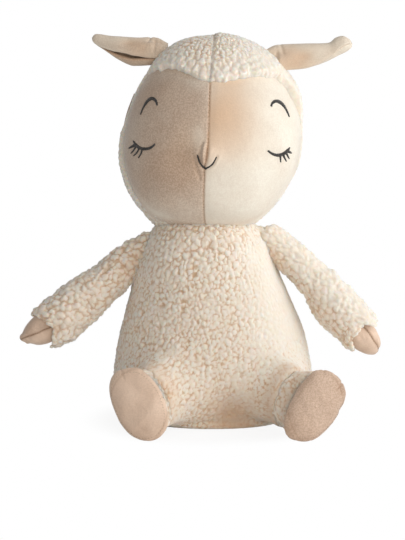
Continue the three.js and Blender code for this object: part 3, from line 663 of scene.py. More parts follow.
# Each sleeve as (along, radius, height of its middle), and its cuff's edge as (height, along)
SLEEVE = {
    "left": [(-8, 13.6, 2.4), (-2, 15.3, 2.8), (4, 15.6, 3.8), (12, 15.6, 5.2), (22, 15.5, 6.6),
             (38, 15.3, 6.5), (46, 16.1, 5.8), (56, 17.3, 5.5), (64, 18.8, 4.4), (72, 20.1, 3.0),
             (84, 21.1, 2.0), (100, 20.6, 1.8), (106, 20.3, 1.3)],
    "right": [(-8, 12.2, -0.8), (-2, 13.8, -1.4), (4, 15.0, -1.2), (21, 16.2, -0.8), (43, 18, -2.3),
              (64, 20, -2.1), (84, 21.2, -2.2), (97, 21.6, -1.9), (104, 20.9, -1.3), (106, 20.6, -1.1)],
}
CUFF = {
    "left": [(-19, 8.0), (-15.4, 9.0), (-11.5, 4.7), (-7.6, 1.0), (0.4, 0.3), (8.9, -1.7), (12, 4.0),
             (14.3, 8.6), (18.6, 4.0)],
    "right": [(-19, 4.0), (-13.5, 7.0), (-7.2, 0.0), (-1.0, -4.6), (4.7, -4.6), (19, -0.1)],
}


def arm_distance(p, name):
    """Distance of points from the root of an arm, a little inside its sleeve."""
    q = unmoved(ARM[name], p)
    rows = np.array(SLEEVE[name])
    along = np.clip(q[..., 2], -4, 40)
    radius, middle = (np.interp(along, rows[:, 0], rows[:, k]) for k in (1, 2))
    return np.sqrt(q[..., 0] ** 2 + (q[..., 1] - middle) ** 2 + (q[..., 2] - along) ** 2) - radius + 1.2


def leg_distance(p, name):
    """Distance of points from a leg's skin, below zero inside it."""
    q = unmoved(LEG[name], p)
    rows = np.array(leg_rows(name)[3:])
    width, height, x0, y0, turn = (np.interp(q[..., 2], rows[:, 0], rows[:, k]) for k in (1, 2, 4, 5, 6))
    x, y = q[..., 0] - x0, q[..., 1] - y0
    x, y = x * np.cos(turn) + y * np.sin(turn), y * np.cos(turn) - x * np.sin(turn)
    share = np.maximum(np.hypot(x / width, y / height), 1e-6)
    tube = np.hypot(x, y) * (1 - 1 / share)
    return np.where(q[..., 2] > 0, np.maximum(tube, q[..., 2] - rows[-1, 0]),
                    np.linalg.norm(q, axis=-1) - HIP_RADIUS)


def body_distance(p):
    """Distance of points from the body's skin, below zero inside it."""
    z = p[..., 2]
    width, depth, x0 = (np.interp(z, BODY_LINE[:, 0], BODY_LINE[:, k]) for k in (1, 2, 4))
    x, y = np.abs(p[..., 0] - x0), np.abs(p[..., 1])
    share = np.maximum(((x / width) ** SQUARENESS + (y / depth) ** SQUARENESS) ** (1 / SQUARENESS), 1e-6)
    slope = np.interp(z, BODY_LINE[:, 0], np.gradient(BODY_LINE[:, 1], BODY_LINE[:, 0]))
    return np.maximum(np.hypot(x, y) * (1 - 1 / share) / np.sqrt(1 + slope**2), -z)


def joined(p, with_body=True):
    """Distance from body and limbs as one skin, rounded where they meet, more so on top."""
    k = 14 + 20 * step(p[..., 2], 10, 46)
    whole = body_distance(p) if with_body else 1e3
    for name in SIDES:
        whole = soft_min(whole, leg_distance(p, name), k)
        whole = soft_min(whole, arm_distance(p, name), 3.0)
    return whole


def swell(p, n, most):
    """How far points move out along their normals to lie on the joined skin."""
    out = np.zeros(p.shape[:2])
    for _ in range(7):
        out = np.clip(out - 0.85 * joined(p + n * out[..., None]), 0, most)
    return out


def tuck(p):
    """Where the belly is pulled in between the legs."""
    return spot(p[..., 0], p[..., 2], 16, 8, 24, 26) * step(-p[..., 1], 10, 40)


def make_body():
    """The fleece of the body in four panels, and its filling."""
    p = skin(body_rows(), 360, 560, SQUARENESS, 0.3)
    x_centre = p.mean(axis=1)[:, 0:1]
    turn = np.linspace(0, 2 * np.pi, p.shape[1], endpoint=False)
    p[..., 0] -= x_centre * near(np.angle(np.exp(1j * (turn - np.pi))), 0.35)
    n = normals(p)
    x, y, z = p[..., 0], p[..., 1], p[..., 2]
    collar = swell(p, n, 25 - 21.5 * step(z, 75, 110))
    out = 0.9 * noise(p, 34, 1) + 0.5 * noise(p, 15, 2) - 1.3 + collar - 3.0 * step(collar, 20, 25)
    out -= TUCK_DEPTH * tuck(p)
    side_seam = near(y - SIDE_SEAM_Y, 2.2) * step(z, 6, 14) * step(170 - z, 0, 10)
    back_seam = near(x, 2.0) * step(y, 0, 10) * step(z, 4, 12)
    seat_seam = near(z - SEAT_SEAM_Z, 2.2) * step(np.hypot(x / BODY[0], y / BODY[1]), 0.6, 0.7)
    seam = np.maximum(np.maximum(side_seam, back_seam), seat_seam)
    out -= 0.9 * seam * (1 - 0.6 * near(z - SEAT_SEAM_Z, 4))
    flat = step(z, 0.5, 5)
    hold = np.clip(1.2 * seam + step(collar, 1, 4) + step(12 - z, 0, 5), 0, 1)
    base = puffed(p + n * (out * flat)[..., None], hold, 2.2, 6, 8)
    calm = 0.2 * seam + 0.85 * (1 - flat) * (z < 20)
    size = 4.6 + 1.4 * near(z - 170, 16)
    # pale: painted light, evening out the crevice colour on the +x front that the key lamp lights.
    pale = 0.6 * step(x, 5, 62) * step(z, 40, 90) * (1 - 0.6 * step(z, 160, 180)) * step(-y, -20, 25)
    raised, fields = fleece(base, n, size, 1.5 + 0.5 * step(-x, -15, 40), 21, calm, pale)
    # Painted shade: the warm field darkens the recess between the legs, where the legs join the body, and
    # along the seams.
    fields["warm"] = np.clip(0.75 * tuck(p) + 0.35 * step(collar, 9, 16) + 0.12 * seam, 0, 0.8)
    raised[..., 2] = np.maximum(raised[..., 2], FLOOR_GAP)
    faces = grid_faces(raised)
    centre = base.reshape(-1, 3)[faces].mean(axis=1)
    seat = centre[:, 2] < SEAT_SEAM_Z
    front = ~seat & (centre[:, 1] < SIDE_SEAM_Y)
    parts = {
        "seat_panel": ("seat_fleece", seat),
        "body_front_panel": ("body_front_fleece", front),
        "body_back_panel_left": ("body_back_fleece_left", ~seat & ~front & (centre[:, 0] >= 0)),
        "body_back_panel_right": ("body_back_fleece_right", ~seat & ~front & (centre[:, 0] < 0)),
    }
    for node, (name, chosen) in parts.items():
        add_piece(name, raised, faces[chosen], fields, FLEECE, "torso", node)
    rows = [(max(r[0], FILLING_FLOOR), *(max(v - 6, 0) for v in r[1:4]), *r[4:])
            for r in body_rows()[:-1]]
    rows[0] = disc(FILLING_FLOOR, 0)
    rows.append((BODY[2] + NECK_RADIUS - 8, 0, 0, 0, NECK[0], 0, 0))
    filling("body_filling", rows, WORLD, "torso", "body_stuffing", 90, 110, SQUARENESS, seated=True)


def filling(name, rows, m, body, node, count, around, squareness=2.0, rough=1.2, seated=False):
    """Loose fibre that fills a skin, a little lumpy all over, and tucked and flat where it is seated."""
    p = skin(rows, count, around, squareness)
    p = p - normals(p) * (rough * (1 + noise(p, 14, 3) + 0.5 * noise(p, 5, 4)))[..., None]
    if seated:
        p = p - normals(p) * (TUCK_DEPTH * tuck(p))[..., None]
        p[..., 2] = np.maximum(p[..., 2], FILLING_FLOOR)
    piece = add_piece(name, moved(m, p), grid_faces(p), None, FIBRE, body, node)


def ball_rows(radius, squash=1.0):
    """Rows of a ball, pressed flat by its squash."""
    angles = np.radians(np.arange(-75, 76, 15))
    rows = [disc(radius * squash * math.sin(a), radius * math.cos(a)) for a in angles]
    return [disc(-radius * squash, 0), *rows, disc(radius * squash, 0)]


# Head: a face of two velour panels in a fleece hood

HEAD_M = head_frame()
# Rows of the head as shares of its height, width, front and back, and of its width that they lean
HEAD_SHARES = [
    (0.17, 0.45, 0.32, 0.46, -0.06), (0.198, 0.57, 0.44, 0.6, -0.06), (0.243, 0.69, 0.665, 0.72, -0.055),
    (0.29, 0.79, 0.83, 0.82, -0.05), (0.37, 0.905, 0.94, 0.92, -0.035), (0.46, 0.98, 0.985, 0.985, -0.015),
    (0.55, 1, 1, 1, 0), (0.64, 0.98, 0.975, 0.985, 0.01), (0.73, 0.915, 0.905, 0.925, 0.02),
    (0.81, 0.82, 0.8, 0.82, 0.025), (0.88, 0.69, 0.66, 0.68, 0.02), (0.94, 0.51, 0.48, 0.49, 0),
    (0.98, 0.3, 0.28, 0.28, -0.02),
]
# How square the head is from above
FULL = 2.2


def head_rows(grow=0.0):
    """Rows of the head, from under the chin to the crown."""
    width, front, back, top = HEAD
    rows = [(h * top, w * width + grow, f * front + grow, b * back + grow, lean * width, 0, 0)
            for h, w, f, b, lean in HEAD_SHARES]
    low, high = rows[0], rows[-1]
    return [(low[0] - grow, 0, 0, 0, low[4], 0, 0), *rows, (top + grow, 0, 0, 0, high[4], 0, 0)]


HEAD_LINE = spline(head_rows(), 600)

# The face's centre seam as (height, how far it strays), and the mouth as (across, height)
SEAM_LINE = np.array([(60, -0.7), (82, -0.8), (95, -0.7), (100, 0.0), (106, 1.1), (111, 1.4), (118, 1.5),
                      (129, 1.3), (146, 0.8), (168, 0.0)])
MOUTH = [(-7.5, 107.8), (-6.5, 104.3), (-5.3, 101.2), (-3.1, 98.2), (-1.1, 96.3), (-0.1, 95.4), (1.6, 96.2),
         (4.3, 97.8), (6.5, 99.9), (8.3, 103.0), (9.9, 106.8)]


# Where filling and stitching push the face in or out: rise, across, height, half-width, half-height
FACE_SPOTS = [(-1.1, 63, 109, 9, 7), (-1.1, -58, 109, 9, 7), (-0.6, 61, 152, 7, 6), (-0.6, -55, 152, 7, 6),
              (-0.8, 0.5, 99, 9, 6), (1.6, 36, 82, 24, 24), (1.6, -36, 82, 24, 24)]
# The ridge and creases beside the nose: rise, half-width and line
FACE_LINES = [(1.9, 1.7, [(-1.2, 117), (-1.9, 112), (-1.9, 107), (-1.2, 101)]),
              (-1.1, 1.3, [(-3.2, 118), (-5.0, 113), (-5.4, 107), (-4.6, 103)]),
              (-1.1, 1.7, [(-10.2, 106), (-9.1, 99), (-6.9, 93), (-4.7, 87)])]
# What keeps the face's cloth still: the eyes, the brows and the mouth
FACE_HOLDS = [(62, 109, 16, 13), (-57, 109, 18, 13), (62, 149, 14, 14), (-54, 148, 14, 14), (0, 104, 15, 14)]


def seam_at(z):
    """How far the centre seam strays across the face at a height."""
    return np.interp(z, SEAM_LINE[:, 0], SEAM_LINE[:, 1])


def beside(x, z, line):
    """Distance across the face from a line of (x, z) points."""
    best = np.full(np.broadcast(x, z).shape, 1e3)
    for (x0, z0), (x1, z1) in zip(line, line[1:]):
        share = ((x - x0) * (x1 - x0) + (z - z0) * (z1 - z0)) / ((x1 - x0) ** 2 + (z1 - z0) ** 2)
        share = np.clip(share, 0, 1)
        best = np.minimum(best, np.hypot(x - x0 - share * (x1 - x0), z - z0 - share * (z1 - z0)))
    return best


def relief(x, z):
    """How far the face stands in or out where the seam, nose and stitching pull it."""
    off = x - seam_at(z)
    seam = -0.8 * near(off, 0.8) - 0.9 * near(off, 4.5) * step(z, 40, 60) - 1.3 * spot(off, z, 0, 107, 1.1, 9)
    bridge = 1.2 * spot(off, z, 2.6, 108, 3.0, 9)
    spots = sum(rise * spot(x, z, *where) for rise, *where in FACE_SPOTS)
    lines = sum(rise * near(beside(x, z, line), wide) for rise, wide, line in FACE_LINES)
    pulled = beside(x, z, MOUTH)
    mouth = -1.0 * near(pulled, 1.3) + 0.5 * near(pulled - 2.2, 1.3)
    keel = -3.2 * (1 - np.exp(-np.abs(off) / 20)) * step(z, 50, 80)
    cheek = 2.2 * step(x, 46, 78) * step(z, 45, 75) * (1 - step(z, 140, 165))
    return seam + bridge + spots + lines + mouth + keel + cheek


def muzzle(x, z, middle):
    """How far the face comes forward round the mouth."""
    return 5 * np.exp(-((x - middle) / 15) ** 2 - ((z - 107) / 12) ** 2)


def face_base(x, z):
    """Points of the bare face at these places across and up it."""
    line = HEAD_LINE
    width, front, lean = (np.interp(z, line[:, 0], line[:, k]) for k in (1, 2, 4))
    side = np.clip(np.abs(x - lean) / width, 0, 0.995)
    y = -front * (1 - side**FULL) ** (1 / FULL)
    return np.stack([x, y - muzzle(x, z, lean), z], axis=-1)


def on_face(x, z, lift=0.0):
    """Points on the finished face, and the way out of it there."""
    x, z = np.asarray(x, float), np.asarray(z, float)
    e = 0.5
    across = face_base(x + e, z) - face_base(x - e, z)
    up = face_base(x, z + e) - face_base(x, z - e)
    n = unit(np.cross(across, up))
    return face_base(x, z) + n * (relief(x, z) + lift)[..., None], n


# The face's edge: its height across the brow, and how far forward it lies up each side
HAIRLINE = np.array([(-60, 176), (-52, 178.5), (-45, 179.6), (-37, 180), (-30, 179.8), (-25, 178.6),
                     (-20, 176.8), (-13, 174), (-8, 172.2), (-2, 171.2), (4, 170.8), (13, 171.2), (23, 173),
                     (28, 175), (34, 176.8), (42, 178), (52, 178), (57, 177), (61, 175.5)])
EDGE = {
    "right": np.array([(5, -20), (30, -34), (45, -38), (55, -37.5), (63, -34), (71, -28.5), (79, -23),
                       (87, -18), (96, -14), (105, -10), (120, -8), (135, -6), (150, -6), (168, -12)]),
    "left": np.array([(5, -20), (30, -32), (45, -34), (55, -30), (63, -24), (71, -18), (79, -13), (90, -9),
                      (105, -6), (120, -7), (135, -9), (150, -14), (160, -17), (168, -19)]),
}


def face_margin(p):
    """Distance inside the face's edge, negative under the hood."""
    x, y, z = p[..., 0], p[..., 1], p[..., 2]
    top = np.interp(x, HAIRLINE[:, 0], HAIRLINE[:, 1])
    left, right = (np.interp(z, EDGE[name][:, 0], EDGE[name][:, 1]) for name in ("left", "right"))
    return soft_min(top - z, left + (right - left) * step(-x, -8, 8) - y, 14)


def head_skin():
    """The head's bare skin, its front half, and how far sideways its centre seam strays."""
    p = skin(head_rows(), 330, 560, FULL, 0.36)
    turn = np.linspace(0, 2 * np.pi, p.shape[1], endpoint=False)
    middle = np.interp(p[:, 0, 2], HEAD_LINE[:, 0], HEAD_LINE[:, 4])[:, None]
    off_front, off_back = np.angle(np.exp(1j * turn)), np.angle(np.exp(1j * (turn - np.pi)))
    front_side = p[..., 1] < 0
    p[..., 1] -= muzzle(p[..., 0], p[..., 2], middle) * front_side
    p[..., 0] -= middle * (near(off_front, 0.3) + near(off_back, 0.3))
    x, z = p[..., 0], p[..., 2]
    strays = seam_at(z) * near(x, 14) * front_side * step(z, 30, 60)
    hold = near(x, 3) + near(face_margin(p), 4)
    for where in FACE_HOLDS:
        hold = hold + 2 * spot(x, z, *where) * front_side
    return puffed(p, np.clip(hold, 0, 1), 1.3, 6, 8), front_side, strays


def face_look(p, off, margin, front_side):
    """Where the face is painted warmer and darker as painted shade, and lighter as painted highlight, with
    random tone.
    """
    x, z = p[..., 0], p[..., 2]
    # tone: a painted shade patch beside the seam on the left panel, painted shade along the seam, under the
    # hood's edge and by the nose, and random tone
    tone = 0.92 * spot(x, z, 15, 143, 29, 38) * (off > 0) + 0.2 * near(off, 1.3)
    tone = tone + 0.15 * near(margin, 5) + 0.35 * spot(x, z, -14, 112, 22, 30)
    tone = np.clip(tone + 0.12 * noise(p, 20, 9), 0, 1) * front_side
    # The painted shade field: all of the right panel painted shaded, with lighter and darker patches, darker
    # along the seam, random tone, and a painted sheen lighter near its edge
    nap_and_painted_shade = 0.74 * step(-off, -3, 3) * (1 - 0.5 * spot(off, z, -7, 118, 5, 14))
    nap_and_painted_shade = nap_and_painted_shade + 0.3 * spot(x, z, -24, 96, 22, 18) - 0.35 * spot(x, z, -40, 54, 36, 14)
    nap_and_painted_shade = nap_and_painted_shade - 0.3 * spot(x, z, -10, 124, 9, 12) + 0.6 * near(off, 0.9)
    nap_and_painted_shade = nap_and_painted_shade + 0.12 * noise(p, 24, 14) - 0.25 * near(margin - 4, 6) * (x < 0)
    return {"tone": tone, "nap_and_painted_shade": np.clip(nap_and_painted_shade, 0, 1)}


def hood_fleece(p, n, off, margin, front_side, lump):
    """The hood's fleece, which dips under the face's edge, and its fields."""
    x, y, z = p[..., 0], p[..., 1], p[..., 2]
    ragged = margin + 1.7 * noise(p, 6.5, 10) + 0.9 * noise(p, 3.0, 11)
    shown = step(-ragged, -2.2, 2.4)
    seam = near(off, 1.8) * step(-margin, -2, 6)
    brow = step(z, 150, 172) * front_side * step(60 - np.abs(x), -4, 10)
    flush = step(z, 112, 138) * near(y, 26) * (x < 0)
    temple = spot(y, z, -6, 162, 24, 22) * (x > 0)
    proud = 3.4 + 1.2 * brow - 2.2 * flush + 0.5 * step(z, 176, 196) + 3.2 * temple
    proud = proud - (1.4 + 1.8 * (x > 0)) * (1 - step(z, 52, 74))
    proud = proud - 2.0 * step(x, 40, 70) * step(z, 55, 75) * (1 - step(z, 132, 160)) * near(y, 40)
    out = relief(x, z) * front_side * (1 - shown) - 2.8 + proud * shown - 0.9 * seam + lump
    toward = np.stack(np.gradient(margin), axis=-1)
    slide_side = (np.roll(p, -1, axis=1) - np.roll(p, 1, axis=1)) / 2
    pull = unit(toward[..., 0:1] * unit(np.gradient(p, axis=0)) + toward[..., 1:2] * unit(slide_side))
    lean = pull * ((0.6 + 1.6 * brow) * near(margin + 1, 4.5) * shown)[..., None]
    size = 4.9 + 2.4 * near(margin, 14) * brow
    calm = np.maximum(np.maximum(0.5 * seam, 0.9 * (1 - shown)), 0.6 * flush)
    # pale: painted light, evening out the crevice colour towards +x, where the key lamp lights the hood.
    pale = 0.6 * step(x, -6, 34) * (1 - 0.75 * near(margin, 11)) * step(-y, -20, 20)
    raised, fields = fleece(p + n * out[..., None], n, size, 1.75, 22, calm, pale, lean, margin < 8)
    fields["pile"] = fields["pile"] + (0.78 - fields["pile"]) * 0.75 * near(margin, 9)
    # Painted shade along the centre seam's crease.
    fields["warm"] = 0.2 * seam
    return raised, fields


def make_head():
    """The face and hood, cut from one skin, with their filling and stitching."""
    p, front_side, strays = head_skin()
    n = normals(p)
    p[..., 0] += strays
    off = p[..., 0] - strays
    margin = face_margin(p)
    lump = 0.5 * noise(p, 26, 7) + 0.25 * noise(p, 9, 8)
    face = p + n * (relief(p[..., 0], p[..., 2]) * front_side + lump * 0.6)[..., None]
    look = face_look(p, off, margin, front_side)
    raised, fields = hood_fleece(p, n, off, margin, front_side, lump)
    faces = grid_faces(p)
    across, inside = (grid.reshape(-1)[faces].mean(axis=1) for grid in (off, margin))
    for name, side in SIDES.items():
        chosen = faces[(inside > -8) & (across * side > 0)]
        add_piece(f"face_velour_{name}", moved(HEAD_M, face), chosen, look, FACE,
                  "head", f"face_panel_{name}")
    for name, side in SIDES.items():
        chosen = faces[(inside < 6) & (across * side > 0)]
        add_piece(f"hood_fleece_{name}", moved(HEAD_M, raised), chosen, fields, FLEECE,
                  "head", f"hood_panel_{name}")
    filling("head_filling", head_rows(-4), HEAD_M, "head", "head_stuffing", 90, 110, FULL)
    make_face_details()


def satin(line, widths, seed):
    """Threads side by side across a line on the face, as satin stitch."""
    path = spline(line, 200)
    t = np.r_[0, np.cumsum(np.linalg.norm(np.diff(path, axis=0), axis=1))]
    at = np.arange(0.1, t[-1], 0.3)
    c = np.stack([np.interp(at, t, path[:, k]) for k in (0, 1)], axis=-1)
    tangent = unit(np.gradient(c, axis=0))
    across = np.stack([-tangent[:, 1], tangent[:, 0]], axis=-1)
    across = unit(across + 0.3 * tangent)
    half = np.interp(at / t[-1], np.linspace(0, 1, len(widths)), widths) / 2
    rng = np.random.default_rng(seed)
    paths = []
    for point, way, reach in zip(c, across, half):
        s = np.linspace(-1, 1, 5)
        reach = reach + 0.1 * rng.normal()
        flat = point + way * (s * reach)[:, None]
        lift = 0.05 + 0.62 * (1 - np.abs(s) ** 2.5) + 0.05 * rng.normal()
        path3, _ = on_face(flat[:, 0], flat[:, 1], lift)
        paths.append((path3, 0.25 * np.array([0.8, 1, 1, 1, 0.8])))
    return paths


# Lids, lashes and brows as (across, height) on the face
LIDS = {
    "right": [(-46.2, 114.7), (-48.6, 112.3), (-52.2, 110.4), (-56.4, 109.5), (-60.3, 109.6),
              (-63.6, 110.7), (-66.1, 112.6), (-68.2, 115.6)],
    "left": [(53.7, 113.0), (57.0, 110.6), (60.2, 109.2), (63.0, 108.8), (65.9, 109.4), (68.3, 110.9),
             (70.0, 112.8), (71.2, 115.6)],
}
LASHES = {
    "right": [[(-66.0, 112.6), (-69.3, 110.5), (-72.8, 108.4)],
              [(-65.9, 110.5), (-67.7, 107.1), (-70.1, 104.2)],
              [(-62.5, 109.4), (-64.2, 105.7), (-67.2, 102.3)],
              [(-59.5, 109.2), (-60.1, 105.0), (-62.0, 101.1)]],
    "left": [[(69.2, 112.6), (71.2, 111.6), (73.0, 110.4)], [(69.0, 111.2), (70.3, 108.1), (71.4, 105.3)],
             [(66.9, 109.7), (67.9, 106.4), (69.1, 103.3)], [(64.6, 109.2), (64.7, 105.7), (64.6, 102.6)]],
}
BROWS = {
    "right": [(-46.6, 148.4), (-47.9, 151.6), (-49.9, 153.5), (-52.7, 154.2), (-55.6, 153.0),
              (-57.8, 150.6), (-59.4, 147.6), (-60.9, 143.8), (-62.4, 139.2)],
    "left": [(54.8, 151.5), (55.4, 154.2), (57.1, 155.8), (59.5, 156.4), (61.8, 155.6), (64.3, 153.6),
             (66.4, 150.5), (68.0, 146.8), (69.6, 142.1)],
}
# How wide each line of stitching is along its length
LID_WIDTHS = (1.2, 1.8, 2.3, 2.7, 2.9, 3.0, 2.9, 0.7)
OUTER_LASH_WIDTHS, LASH_WIDTHS = (3.0, 2.2, 1.0), (1.7, 1.25, 0.6)
BROW_WIDTHS = (1.4, 2.4, 2.8, 2.9, 2.7, 2.1, 1.4, 1.0, 0.6)
MOUTH_WIDTHS = (0.7, 1.0, 1.1, 1.2, 1.5, 1.2, 1.1, 1.3, 1.1, 0.9)


def add_threads(name, paths, m, material, body, node=None):
    """Threads along paths in a frame, as one piece."""
    points, faces = tubes(paths)
    add_piece(name, moved(m, points), faces, None, material, body, node)


def make_face_details():
    """The embroidery, and the stitches of the centre seam."""
    for i, name in enumerate(SIDES):
        paths = satin(LIDS[name], LID_WIDTHS, 31 + i)
        for k, lash in enumerate(LASHES[name]):
            paths += satin(lash, LASH_WIDTHS if k else OUTER_LASH_WIDTHS, 40 + 4 * i + k)
        add_threads(f"eye_stitching_{name}", paths, HEAD_M, FLOSS, "head", f"eye_{name}")
        paths = satin(BROWS[name], BROW_WIDTHS, 50 + i)
        add_threads(f"brow_stitching_{name}", paths, HEAD_M, FLOSS, "head", f"brow_{name}")
    add_threads("mouth_stitching", satin(MOUTH, MOUTH_WIDTHS, 60), HEAD_M, FLOSS, "head", "mouth")
    z = np.linspace(46, 170, 260)
    line, out = on_face(seam_at(z), z, 0.1)
    paths = stitches(line, out, 3.1, 1.7, 0.16, 0.05, 0.2)
    add_threads("face_seam_stitches", paths, HEAD_M, DARK_SEWING, "head")


# Ears: a velour leaf folded along its length, lined with the same cloth

def ear_matrix(name):
    """An ear's frame: its Z along the ear, its X towards the camera."""
    side, rise = SIDES[name], math.radians(EAR_RISE[name])
    m = np.eye(4)
    out = np.array([side * math.cos(rise), 0, math.sin(rise)])
    up = np.array([-side * math.sin(rise), 0, math.cos(rise)])
    m[:3, 0], m[:3, 1], m[:3, 2] = (0, -1, 0), up, out
    m[:3, 3] = (side * EAR_SIDE, 0, EAR_HEIGHT)
    return HEAD_M @ m


# Each ear as (along, radius, height of its middle), and the angles of its two edges as (along, degrees)
EAR_ROWS = {
    "right": [(-10, 9.5, 3.0), (0, 12.4, 2.0), (4.4, 13.0, 1.3), (11.7, 13.2, 0), (18.2, 13.1, -1.0),
              (31, 10.6, -0.5), (40.5, 7.9, 0.6), (44.8, 6.8, 1.3), (51.2, 5.3, 2.3), (54.9, 3.9, 3.0),
              (56.6, 2.2, 3.2), (57.2, 0.5, 3.2)],
    "left": [(-10, 10, 0), (0, 12.2, 0), (8.6, 12.4, -0.3), (24, 11.9, -2.2), (34, 10.4, -2.8),
             (42, 8.8, -2.9), (49, 7.7, -2.4), (54.5, 8.2, -0.4), (60.8, 7.4, 0.7), (64.4, 5.4, 0.5),
             (66.8, 3.0, 0), (67.6, 0.5, -0.2)],
}
EAR_FOLDS = {
    "right": np.array([(-10, -20, 333), (4, -18, 331), (14, -12, 327), (24, -11, 321), (31, -15, 313),
                       (40, -30, 300), (45, -39, 299), (51, -49, 299), (62, -60, 296)]),
    "left": np.array([(-10, -48, 303), (13, -48, 305), (24, -47, 307), (34, -47, 307), (42, -40, 314),
                      (49, -24, 330), (54.5, -14, 340), (61, -2, 352), (66, 8, 360)]),
}
# How far the second edge lies inside the first
EAR_TIGHT = {"right": 0.03, "left": 0.16}
# Painted shade on each ear: how much warmer and darker it is painted below its fold, and how dark above it
EAR_TONE_AND_SHADE = {"right": (0.4, 0.0, 0.42), "left": (-0.2, -0.3, 0.2)}
EAR_LINES, EAR_COLUMNS = 110, 54
# The inner and outer depth of each layer below the ear's face
EAR_LAYERS = {"outer": (1.05, 0.0), "lining": (2.2, 1.1)}


def ear_layer(name, inner, outer):
    """One closed layer of the folded leaf, between two depths below its face."""
    rows, cols = EAR_LINES, EAR_COLUMNS
    r = spline(EAR_ROWS[name], rows)
    z, high, rise = r[:, 0:1], r[:, 1:2], r[:, 2:3]
    first, last = (np.interp(z, EAR_FOLDS[name][:, 0], EAR_FOLDS[name][:, k]) for k in (1, 2))
    tight = EAR_TIGHT[name]
    s = np.linspace(0, 1, cols)
    pinch = near(z - 2, 11)
    fold = np.radians(first + (last - first) * s + 16 * pinch * np.sin(2 * np.pi * s))
    wrap = 1 - tight * step(s, 0.6, 1.0) + 0.07 * near(s, 0.12)
    crumple = pinch * (1.3 * near(s - 0.1, 0.06) - 1.9 * near(s - 0.19, 0.05) + 1.2 * near(s - 0.3, 0.07)
                       - 1.2 * near(s - 0.86, 0.05) + 0.8 * near(s - 0.76, 0.06))
    crumple = crumple - 1.9 * near(z - 0.5 - 9 * (s - 0.1), 1.5) * near(s - 0.13, 0.1)
    crumple = crumple - 1.3 * near(z - 7 + 8 * (s - 0.2), 1.4) * near(s - 0.24, 0.08)
    crumple = crumple - 1.6 * spot(z, s, 24, 0.14, 7, 0.06) + 0.5 * near(s, 0.03)

    def layer(depth):
        tall = np.maximum(high * wrap + crumple - depth, 0.25)
        deep = np.maximum(0.74 * high * wrap + crumple - depth, 0.2)
        return np.stack([deep * np.cos(fold), tall * np.sin(fold) + rise, z + 0 * fold], axis=-1)

    outside, inside = layer(outer), layer(inner)
    middle = (outside + inside) / 2
    thick = inner - outer
    lips = [middle[:, a:a + 1] + thick * 0.6 * unit(middle[:, a:a + 1] - middle[:, b:b + 1])
            for a, b in ((cols - 1, cols - 2), (0, 1))]
    p = np.concatenate([outside, lips[0], inside[:, ::-1], lips[1]], axis=1)
    ends = [np.broadcast_to(p[k:k + 1].mean(axis=1, keepdims=True), p[:1].shape) for k in (0, rows - 1)]
    return np.concatenate([ends[0], p, ends[1] + [0, 0, 0.4]], axis=0)


def make_ear(name):
    """An ear's outer layer and its lining."""
    m = ear_matrix(name)
    flip = np.linalg.det(m[:3, :3]) < 0
    warmer, darker, dark = EAR_TONE_AND_SHADE[name]
    s = np.linspace(0, 1, EAR_COLUMNS)
    s = np.r_[s, 1, s[::-1], 0][None, ::-1 if flip else 1]
    below = step(s, 0.8, 0.9)
    for part, (inner, outer) in EAR_LAYERS.items():
        p = moved(m, ear_layer(name, inner, outer))
        if flip:
            p = p[:, ::-1]
        q = p + normals(p) * (0.35 * noise(p, 11, 12))[..., None] if part == "outer" else p
        z = unmoved(m, p)[..., 2]
        # tone: random, a warm patch near the base, warmer below the fold, a painted shadow line where the
        # flap's edge overhangs, and painted shade in the dent
        tone = 0.15 + 0.2 * noise(p, 12, 13) + 0.5 * spot(z, s, 14, 0.08, 17, 0.2) + warmer * below
        tone = tone + 0.8 * near(s - 1, 0.012) + 0.35 * spot(z, s, 24, 0.14, 7, 0.06)
        # Painted shade: darker all over by each ear's amount and below its fold, with a lighter painted
        # highlight along the fold's rim and in a patch
        nap_and_painted_shade = dark + darker * below - 0.4 * near(s, 0.03) - 0.35 * spot(z, s, 28, 0.2, 18, 0.1)
        if part == "lining":
            tone = tone + 0.4
        fields = {"tone": np.clip(tone, 0, 1), "nap_and_painted_shade": np.clip(nap_and_painted_shade, 0, 1)}
        add_piece(f"ear_{part}_{name}", q, grid_faces(q), fields, EAR,
                  f"{name}_ear", f"ear_{name}_{part}")


# Arms: fleece sleeves with suede hooves

# How far the cuff's back edge lies beyond the sleeve's end
CUFF_BACK = {"left": 6.0, "right": 2.4}


def sleeve_rows(name, radius=0.0):
    """Rows of a sleeve, from its round end inside the body to short of its cuff."""
    rows = [disc(-15 - radius, 0), disc(-13.6 - 0.8 * radius, 8.5 + radius)]
    return rows + [disc(z, r + radius, middle) for z, r, middle in SLEEVE[name]]


